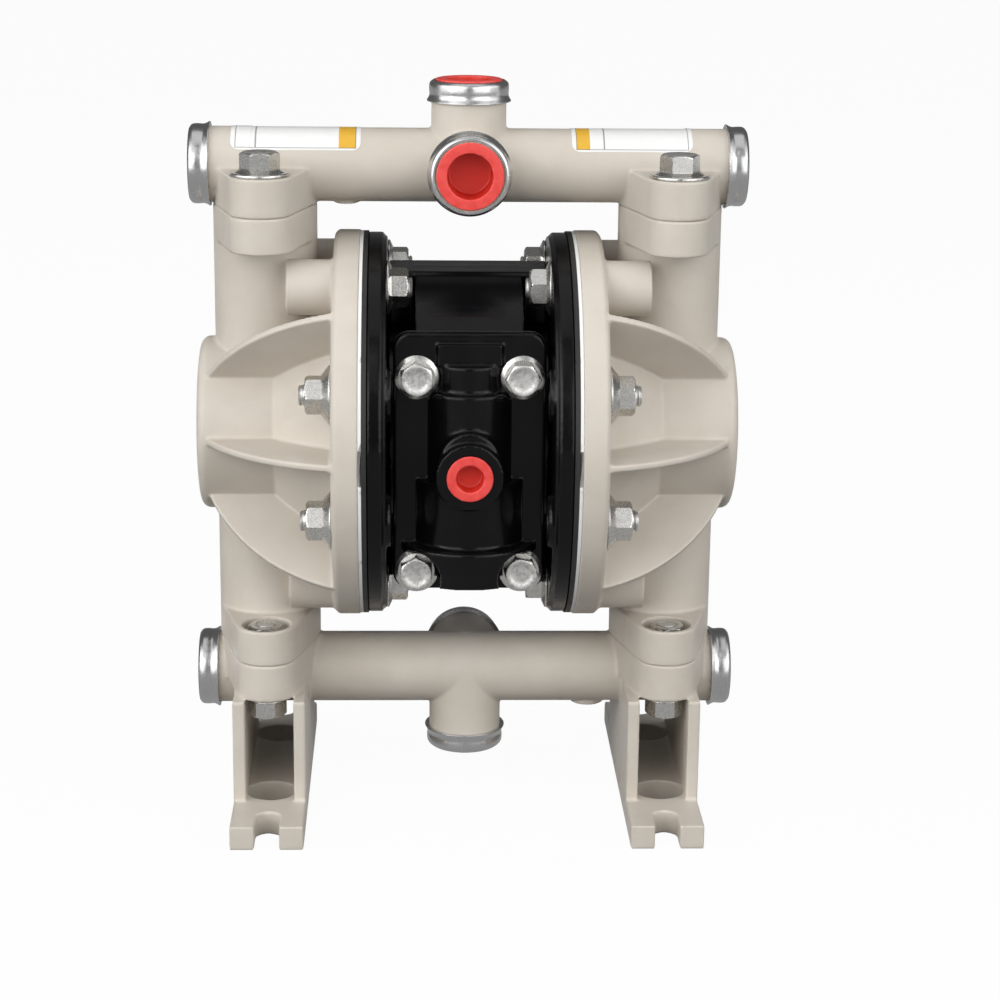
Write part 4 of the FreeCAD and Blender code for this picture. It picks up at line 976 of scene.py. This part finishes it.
@dataclass
class Fasteners:
    """All the screws, washers and nuts, each turned by its own angle as a fitter leaves them."""

    circle: float = 61.5
    flange_back: float = 50.3
    air_face: float = 30.4
    pocket_face: float = 35.4
    column: float = 76.3
    ear_bolt: float = 31.5
    ear_nut: float = 76.1
    washer: float = 1.6
    washer_bore: float = 4.5
    wide_washer: float = 11.0
    small_washer: float = 7.9
    washer_cone: float = 0.9
    screw_hex: float = 7.4
    screw_radius: float = 4.0
    boss_shank: float = 34.0
    sunk_shank: float = 25.0
    header_shank: float = 29.0
    plate_shank: float = 12.0
    plate_screw_hex: float = 6.6
    plate_screw_radius: float = 3.0
    block_face: float = 49.1
    block_spots: tuple[tuple[float, float], ...] = (
        (-19.35, 103.8), (-19.35, 177.0), (19.35, 103.8), (19.35, 177.0))
    cover_face: float = 49.2
    cover_spread: float = 19.0
    cover_rise: float = 33.0
    boss_angles: tuple[float, ...] = (67.5, 112.5, 247.5, 292.5)
    nut_angles: tuple[float, ...] = (-22.5, 22.5, 157.5, 202.5)
    header_turns: tuple[float, ...] = (3.5, 12.0, 3.0, 50.0)
    plate_turns: tuple[float, ...] = (30.0, 34.0, 50.0, 0.0)

    def on_circle(self, x: float, angle: float) -> tuple[float, float, float]:
        """Point on the cap's bolt circle, from the front at 0 degrees upwards."""
        return (x, -self.circle * math.cos(math.radians(angle)),
                ROD_HEIGHT + self.circle * math.sin(math.radians(angle)))

    def shank(self, radius: float, length: float) -> Surface:
        """Plain shank from height -length to 0, a turned cylinder with eased ends.

        Args:
            radius: the shank's radius.
            length: how deep it goes under the head.

        Returns:
            The shank.
        """
        profile = rounded(((0, -length), (radius, -length), (radius, 0.2), (0, 0.2)),
                          (0, 0.6, 0, 0), 3)
        return turned(profile[:, 0], profile[:, 1], 32)

    def screw(self, head: HexHead, spot: Sequence[float], axis: Axis, turn: float,
              length: float, radius: float) -> list[Surface]:
        """A head and its shank.

        Args:
            head: the head.
            spot: middle of the head's underside.
            axis: where the head points.
            turn: degrees by which the head is turned.
            length: the shank's length.
            radius: the shank's radius.

        Returns:
            Both shells.
        """
        return [head.shell().placed(spot, axis, turn),
                self.shank(radius, length).placed(spot, axis)]

    def facing(self, axis: Axis, rise: float) -> float:
        """Turn that points one facet of a hexagon on a sideways axis to the front, raised."""
        return (rise + 30.0) % 60.0 if axis is Axis.LEFT else (30.0 - rise) % 60.0

    def fasten(self, node: str, made: str, shells: Iterable[Surface],
               finish: Finish = Finish.SCREW) -> None:
        """Make and dress one node of fasteners.

        Args:
            node: the CAD node.
            made: how the pieces are made, for the object's name.
            shells: the shells of all its pieces.
            finish: their finish.
        """
        piece = mesh_object("%s_%s" % (node, made), joined(shells))
        hand_over(piece, finish, "pump", "steel_fastener", node)

    def cap_screws(self, side: int, name: str) -> None:
        """Screws of one cap: flange nuts on stud ends in the boss places, sunk heads in the rest.

        Args:
            side: -1 for the left cap and 1 for the right one.
            name: left or right.
        """
        outward, inward = (Axis.LEFT, Axis.RIGHT) if side < 0 else (Axis.RIGHT, Axis.LEFT)
        boss_rises = (15.0, 24.0, 38.0, 5.0) if side < 0 else (-9.0, 10.0, 31.0, 44.0)
        nut_rises = (25.0, 31.0, 12.0, 47.0) if side < 0 else (26.0, 3.5, 40.0, 18.0)
        boss = HexHead(self.screw_hex, 6.0, 10.0, 0.7, 1.9, stud=1.5)
        sunk = HexHead(self.screw_hex, 4.2, 7.1, 0.2, 0.3, dish=0.5)
        nut = HexHead(self.screw_hex, 6.0, 11.0, 0.6, 3.4, stud=2.3)
        screws, nuts = [], []
        for angle, rise in zip(self.boss_angles, boss_rises):
            screws += self.screw(boss, self.on_circle(side * self.air_face, angle), inward,
                                 self.facing(inward, rise), self.boss_shank, self.screw_radius)
        for index, (angle, rise) in enumerate(zip(self.nut_angles, nut_rises)):
            screws += self.screw(sunk, self.on_circle(side * self.pocket_face, angle), inward,
                                 23.0 * index, self.sunk_shank, self.screw_radius)
            nuts.append(nut.shell().placed(self.on_circle(side * self.flange_back, angle), outward,
                                           self.facing(outward, rise)))
        self.fasten("cap_screws_" + name, "forged", screws)
        self.fasten("cap_nuts_" + name, "forged", nuts)

    def disc(self, radius: float) -> Surface:
        """Washer: flat where it is small, and where it is wide raised to a cone with a low rim.

        Args:
            radius: the washer's outer radius.

        Returns:
            The washer, standing on Z = 0.
        """
        cone = self.washer_cone if radius > 9.0 else 0.0
        top = self.washer + cone
        rim = rounded(((self.washer_bore, 0.0), (radius, 0.0), (radius, 1.35),
                       (radius - 0.15 - 1.4 * cone, self.washer - 0.2 * cone),
                       (7.55, top), (self.washer_bore, top)),
                      (0, 0.25, 0.2 + 0.4 * cone, 0.3 * cone, 0.2 * cone, 0), 4, True)
        return turned(rim[:, 0], rim[:, 1], 72, True)

    def header_screws(self, header: str, face: float, outward: Axis, washer_radius: float) -> None:
        """Four screws of one header with their washers, and the nuts in the caps' pockets.

        Args:
            header: outlet or inlet.
            face: height of the ears' outer face.
            outward: where the heads point.
            washer_radius: outer radius of the washers.
        """
        sign, inward = (1.0, Axis.DOWN) if outward is Axis.UP else (-1.0, Axis.UP)
        head = HexHead(self.screw_hex, 6.6, 7.3, 0.3, 0.5, dish=0.45)
        pocket_nut = HexHead(self.screw_hex, 4.2, 7.0, 0.1, 0.15, stud=0.3)
        screws, washers, nuts = [], [], []
        for index, (side, across) in enumerate(CORNERS):
            x, y = side * self.column, across * self.ear_bolt
            screws += self.screw(head, (x, y, face + sign * self.washer), outward,
                                 self.header_turns[index], self.header_shank,
                                 self.screw_radius)
            washers.append(self.disc(washer_radius).placed((x, y, face), outward))
            nuts.append(pocket_nut.shell().placed((x, y, ROD_HEIGHT + sign * self.ear_nut), inward,
                                                  9.0 * index))
        self.fasten(header + "_screws", "forged", screws)
        self.fasten(header + "_washers", "pressed", washers, Finish.WASHER)
        self.fasten(header + "_nuts", "forged", nuts)

    def plate_screws(self) -> None:
        """Flanged screws of the valve block in front and of the exhaust cover behind."""
        head = HexHead(self.plate_screw_hex, 5.0, 8.2, 0.75, 1.7, dish=0.55)
        block = [(x, -self.block_face, z) for x, z in self.block_spots]
        cover = [(side * self.cover_spread, self.cover_face, ROD_HEIGHT + rise * self.cover_rise)
                 for side, rise in CORNERS]
        for node, axis, spots in (("valve_block_screws", Axis.FRONT, block),
                                  ("exhaust_cover_screws", Axis.BACK, cover)):
            shells = []
            for spot, turn in zip(spots, self.plate_turns):
                shells += self.screw(head, spot, axis, turn, self.plate_shank,
                                     self.plate_screw_radius)
            self.fasten(node, "forged", shells)

    def build(self) -> None:
        """Make and dress every fastener."""
        for side, name in SIDES:
            self.cap_screws(side, name)
        self.header_screws("outlet", UPPER_HEADER, Axis.UP, self.wide_washer)
        self.header_screws("inlet", LOWER_HEADER, Axis.DOWN, self.small_washer)
        self.plate_screws()


@dataclass
class ShippingPlugs:
    """Push-in vinyl plugs with a rolled flange and a hollow middle."""

    wide: tuple[float, float, float, float] = (12.4, 10.25, 8.4, 12.5)
    small: tuple[float, float, float, float] = (8.5, 5.95, 5.0, 7.0)
    flange: float = 1.1
    floor: float = 2.0
    seat: float = 31.2
    air_face: float = 63.9
    air_height: float = 142.6

    def shell(self, sizes: tuple[float, float, float, float]) -> Surface:
        """Cup with its flange's underside at height 0, a rounded profile turned round Z.

        Args:
            sizes: radii of flange, body and hole, and depth.

        Returns:
            The closed cup.
        """
        flange, body, hole, depth = sizes
        corners = ((0, -depth), (body - 0.5, -depth), (body, -0.02), (flange, 0.0),
                   (flange, self.flange), (hole, self.flange), (hole - 0.25, self.floor - depth),
                   (0, self.floor - depth))
        rim = self.flange * 0.49
        profile = rounded(corners, (0, 0.8, 0.1, rim, rim, 0.6, 0.9, 0), 6)
        # Points inside the cup are marked, and the vinyl paints shade there.
        hollow = (np.arange(len(profile)) > len(profile) // 2) & (profile[:, 1] < self.flange - 0.5)
        return turned(profile[:, 0], profile[:, 1], 96, marks=hollow)

    def build(self) -> None:
        """Make and dress the three plugs."""
        plugs = (
            ("plug_outlet_top", self.wide, (0, 0, UPPER_HEADER + self.seat), Axis.UP, "top_plug"),
            ("plug_outlet_front", self.wide, (0, -self.seat, UPPER_HEADER), Axis.FRONT,
             "front_plug"),
            ("plug_air_inlet", self.small, (0, -self.air_face, self.air_height), Axis.FRONT,
             "air_plug"),
        )
        for node, sizes, spot, axis, body in plugs:
            piece = mesh_object(node + "_dipped", self.shell(sizes).placed(spot, axis), 60.0)
            hand_over(piece, Finish.VINYL, body, "red_plug", node)


@dataclass
class Stickers:
    """Two blank stickers wrapped over the upper header."""

    tube: float = 13.75
    hub: float = 14.0
    hub_start: float = 81.0
    film: float = 0.14
    front: float = 61.0
    back: float = 40.0
    corner: float = 3.2
    left: tuple[float, float] = (-88.3, -40.2)
    right: tuple[float, float] = (38.2, 83.1)

    def patch(self, start: float, end: float) -> tuple[Surface, Array]:
        """Closed curved patch over the tube.

        Point (u, v) lies at x = start + u (end - start) and at an angle round the tube that falls
        evenly with v. The rounded corners come from pulling each row's ends in by
        c - sqrt(c^2 - d^2), d being how far the row is past the corner circle's centre. The film
        climbs the step at each port's hub over half a millimetre.

        Args:
            start: lowest X.
            end: highest X.

        Returns:
            The patch and each point's (u, v).
        """
        arc = math.radians(self.front + self.back) * self.tube
        v = (1.0 - np.cos(np.linspace(0.0, math.pi, 49))) / 2.0
        past = np.clip(np.abs(v - 0.5) * arc - (arc / 2.0 - self.corner), 0.0, None)
        pull = self.corner - np.sqrt(np.clip(self.corner ** 2 - past ** 2, 0.0, None))
        u = np.linspace(0.0, 1.0, 121)[None, :]
        x = start + pull[:, None] + u * (end - start - 2.0 * pull[:, None])
        angle = np.radians(self.front - v * (self.front + self.back))[:, None]
        climb = np.clip((np.abs(x) - self.hub_start + 0.4) / 0.5, 0.0, 1.0)
        base = self.tube + (self.hub - self.tube) * climb
        layers = []
        for radius in (base + self.film, base - 0.1):
            layers.append(np.stack(np.broadcast_arrays(
                x, -radius * np.sin(angle), UPPER_HEADER + radius * np.cos(angle)), axis=-1))
        number = np.arange(v.size * u.size).reshape(v.size, u.size)
        top = np.stack((number[:-1, :-1], number[:-1, 1:], number[1:, 1:], number[1:, :-1]),
                       axis=-1).reshape(-1, 4)
        rim = np.concatenate((number[0, :-1], number[:-1, -1], number[-1, :0:-1], number[:0:-1, 0]))
        follow = np.roll(rim, -1)
        count = number.size
        sides = np.stack((rim, rim + count, follow + count, follow), axis=-1)
        points = np.vstack([layer.reshape(-1, 3) for layer in layers])
        share_u = (x - start) / (end - start)
        share = np.stack(np.broadcast_arrays(share_u, v[:, None]), axis=-1).reshape(-1, 2)
        surface = Surface(points, [top, top[:, ::-1] + count, sides], np.zeros(len(points)))
        return surface, np.vstack((share, share))

    def build(self) -> None:
        """Make and dress both stickers."""
        for name, ends, finish in (("sticker_left", self.left, Finish.LEFT_STICKER),
                                   ("sticker_right", self.right, Finish.RIGHT_STICKER)):
            surface, share = self.patch(*ends)
            piece = mesh_object(name, surface, 50.0)
            layer = piece.data.uv_layers.new(name="label")
            corners = np.zeros(len(piece.data.loops), int)
            piece.data.loops.foreach_get("vertex_index", corners)
            layer.data.foreach_set("uv", share[corners].astype(np.float32).ravel())
            hand_over(piece, finish, "pump", "seat_plastic")


@dataclass
class Diaphragms:
    """White sheet and rubber backup of each side, cut in sectors."""

    sectors: int = 6
    clamp: float = 48.5
    centre: float = 30.0
    edge: float = 40.0

    def sector(self, node: str, name: str, middle: float) -> bpy.types.Object:
        """One sector of a sheet, the CAD solid cut by two planes through the rod's axis.

        Args:
            node: the CAD node.
            name: the new object's name.
            middle: the sector's middle angle in degrees, from the front upwards.

        Returns:
            The sector.
        """
        piece = node_copy(node, name)
        work = bmesh.new()
        work.from_mesh(piece.data)
        half = 180.0 / self.sectors
        for sign in (-1.0, 1.0):
            angle = math.radians(middle + sign * half)
            normal = Vector((0.0, math.sin(angle), math.cos(angle))) * sign
            cut = bmesh.ops.bisect_plane(
                work, geom=work.verts[:] + work.edges[:] + work.faces[:], dist=1e-7,
                plane_co=Vector((0.0, 0.0, ROD_HEIGHT * MM)), plane_no=normal, clear_outer=True)
            rim = [item for item in cut["geom_cut"] if isinstance(item, bmesh.types.BMEdge)]
            bmesh.ops.edgeloop_fill(work, edges=rim)
        work.to_mesh(piece.data)
        work.free()
        piece.data.shade_smooth()
        piece.data.set_sharp_from_angle(angle=math.radians(35.0))
        return piece

    def build(self) -> None:
        """Cut and dress every sector."""
        for side, name in SIDES:
            for node, finish, slot in (("diaphragm_" + name, Finish.WHITE_SHEET, "ptfe"),
                                       ("backup_diaphragm_" + name, Finish.RUBBER, "rubber")):
                for index in range(self.sectors):
                    middle = 360.0 * index / self.sectors
                    piece = self.sector(node, "%s_sector_%d" % (node, index), middle)
                    piece.data.materials.clear()
                    piece.data.materials.append(finish.material())
                    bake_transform(piece)
                    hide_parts(node)
                log.info("%s: %d sectors", node, self.sectors)


@dataclass(frozen=True)
class InnerParts:
    """Pieces inside the pump whose solids already have the right shape."""

    finishes: tuple[tuple[Finish, tuple[str, ...]], ...] = (
        (Finish.WHITE_SHEET, ("ball_inlet_left", "ball_inlet_right", "ball_outlet_left",
                              "ball_outlet_right")),
        (Finish.SEAT, ("seat_inlet_left", "seat_inlet_right", "seat_outlet_left",
                       "seat_outlet_right")),
        (Finish.PLATE, ("fluid_plate_left", "fluid_plate_right", "air_plate_left",
                        "air_plate_right")),
        (Finish.MACHINED, ("diaphragm_rod", "pilot_rod", "plate_screw_left", "plate_screw_right",
                           "valve_spool", "valve_sleeve", "rod_bushings")),
        (Finish.RUBBER, ("joint_seals", "valve_block_gasket", "exhaust_gasket")),
    )

    def build(self) -> None:
        """Dress the solids."""
        for finish, nodes in self.finishes:
            for node in nodes:
                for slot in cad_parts[node].material_slots:
                    slot.material = finish.material()
            log.info("%s on %d solids", finish.value.name, len(nodes))


@dataclass
class Studio:
    """Camera at the photograph's angle, pale floor, plain soft lamps and an even sky."""

    place: tuple[float, float, float] = (-20.729, -942.632, 376.192)
    yaw: float = 0.036
    pitch: float = 0.268
    roll: float = 0.011
    focal: float = 2512.56
    pixels: float = 1000.0
    sensor: float = 36.0
    clip: float = 50.0
    sky: float = 0.15
    gloss_front: float = 0.10
    gloss_back: float = 0.12
    gloss_turn: tuple[float, float] = (-0.8, -0.1)
    floor: float = 4.0
    pale: float = 0.8
    bounce: float = 0.06
    glow: float = 0.96
    mirrored: float = 0.4
    lamps: tuple[tuple[str, float, float, float], ...] = (
        ("left key", -35.0, 36.0, 7.0), ("left side", -70.0, 14.0, 10.4),
        ("right low", 35.0, 14.0, 12.5), ("left low", -35.0, 14.0, 12.5),
        ("left high", -70.0, 36.0, 3.0), ("right high", 70.0, 36.0, 4.5),
        ("right side", 70.0, 14.0, 5.0), ("right key", 35.0, 36.0, 2.0), ("top", 0.0, 88.0, 5.0))
    aim: float = 0.14
    distance: float = 1.7
    lamp_size: float = 1.5

    def camera(self) -> None:
        """Pinhole camera, its columns right, up and back, its lens focal times sensor / pixels."""
        yaw, pitch, roll = self.yaw, self.pitch, self.roll
        forward = Vector((math.sin(yaw) * math.cos(pitch), math.cos(yaw) * math.cos(pitch),
                          -math.sin(pitch)))
        right = Vector((math.cos(yaw), -math.sin(yaw), 0.0))
        up = right.cross(forward)
        across = right * math.cos(roll) + up * math.sin(roll)
        upward = up * math.cos(roll) - right * math.sin(roll)
        data = bpy.data.cameras.new("camera")
        data.lens = self.focal * self.sensor / self.pixels
        data.sensor_width = self.sensor
        data.clip_end = self.clip
        item = bpy.data.objects.new("camera", data)
        turn = Matrix((across, upward, -forward)).transposed().to_4x4()
        item.matrix_world = Matrix.Translation(Vector(self.place) * MM) @ turn
        bpy.context.scene.collection.objects.link(item)
        bpy.context.scene.camera = item

    def lamp(self, name: str, azimuth: float, rise: float, power: float) -> None:
        """Soft square lamp on a sphere round the pump, facing its middle.

        Args:
            name: the lamp's name.
            azimuth: degrees from the front, positive to the right.
            rise: degrees above the level line.
            power: watts.
        """
        turn, tilt = math.radians(azimuth), math.radians(rise)
        centre = Vector((0.0, 0.0, self.aim))
        spot = centre + self.distance * Vector((
            math.sin(turn) * math.cos(tilt), -math.cos(turn) * math.cos(tilt), math.sin(tilt)))
        data = bpy.data.lights.new(name, "AREA")
        data.shape = "SQUARE"
        data.size = self.lamp_size
        data.energy = power
        item = bpy.data.objects.new(name, data)
        item.location = spot
        item.rotation_euler = (centre - spot).to_track_quat("-Z", "Y").to_euler()
        item.visible_camera = False
        bpy.context.scene.collection.objects.link(item)

    def world(self) -> None:
        """Sky: white to the camera, dim and even on the object, dimmer still in its gloss."""
        world = bpy.data.worlds.new("sky")
        bpy.context.scene.world = world
        world.use_nodes = True
        tree = Tree(world.node_tree)
        place = tree.node("ShaderNodeTexCoord").outputs["Generated"]
        depth = tree.node("ShaderNodeSeparateXYZ", {0: place}).outputs["Y"]
        front = tree.node("ShaderNodeMapRange", {
            "Value": depth, "From Min": self.gloss_turn[0], "From Max": self.gloss_turn[1],
            "To Min": self.gloss_front, "To Max": self.gloss_back},
            interpolation_type="SMOOTHSTEP").outputs[0]
        even, gloss, white = (
            tree.shader("ShaderNodeBackground", {"Color": WHITE, "Strength": strength})
            for strength in (self.sky, front, 1.0))
        lit = tree.either(tree.ray("Glossy"), even, gloss)
        tree.node("ShaderNodeOutputWorld", {0: tree.either(tree.ray("Camera"), lit, white)})

    def ground(self) -> None:
        """Pale floor: nearly white to the camera, where it keeps a share of its own shading.

        To gloss it is an even grey, and to other light a dark surface.
        """
        size = self.floor
        mesh = bpy.data.meshes.new("floor")
        mesh.from_pydata([(-size, -size, 0), (size, -size, 0), (size, 3 * size, 0),
                          (-size, 3 * size, 0)], [], [(0, 1, 2, 3)])
        item = bpy.data.objects.new("floor", mesh)
        bpy.context.scene.collection.objects.link(item)
        recipe = Recipe("pale floor")
        pale, dim = (recipe.shader("ShaderNodeBsdfDiffuse", {"Color": (*(grey,) * 3, 1.0)})
                     for grey in (self.pale, self.bounce))
        glow, faint = (recipe.shader("ShaderNodeEmission", {"Color": WHITE, "Strength": strength})
                       for strength in (1.0, self.mirrored))
        shown = recipe.either(self.glow, pale, glow)
        unseen = recipe.either(recipe.ray("Glossy"), dim, faint)
        mix = recipe.either(recipe.ray("Camera"), unseen, shown)
        recipe.node("ShaderNodeOutputMaterial", {"Surface": mix})
        mesh.materials.append(recipe.material)

    def build(self) -> None:
        """Set the whole studio up."""
        bpy.context.scene.view_settings.view_transform = "Standard"
        self.camera()
        self.world()
        self.ground()
        for name, azimuth, rise, power in self.lamps:
            self.lamp(name, azimuth, rise, power)


def main() -> None:
    """Build the studio and every sub-assembly in order."""
    logging.basicConfig(level=logging.INFO, format="%(name)s: %(message)s")
    for assembly in (Studio(), Castings(), PortBands(), PortThreads(), Fasteners(),
                     ShippingPlugs(), Stickers(), Diaphragms(), InnerParts()):
        assembly.build()


if __name__ == "__main__":
    main()
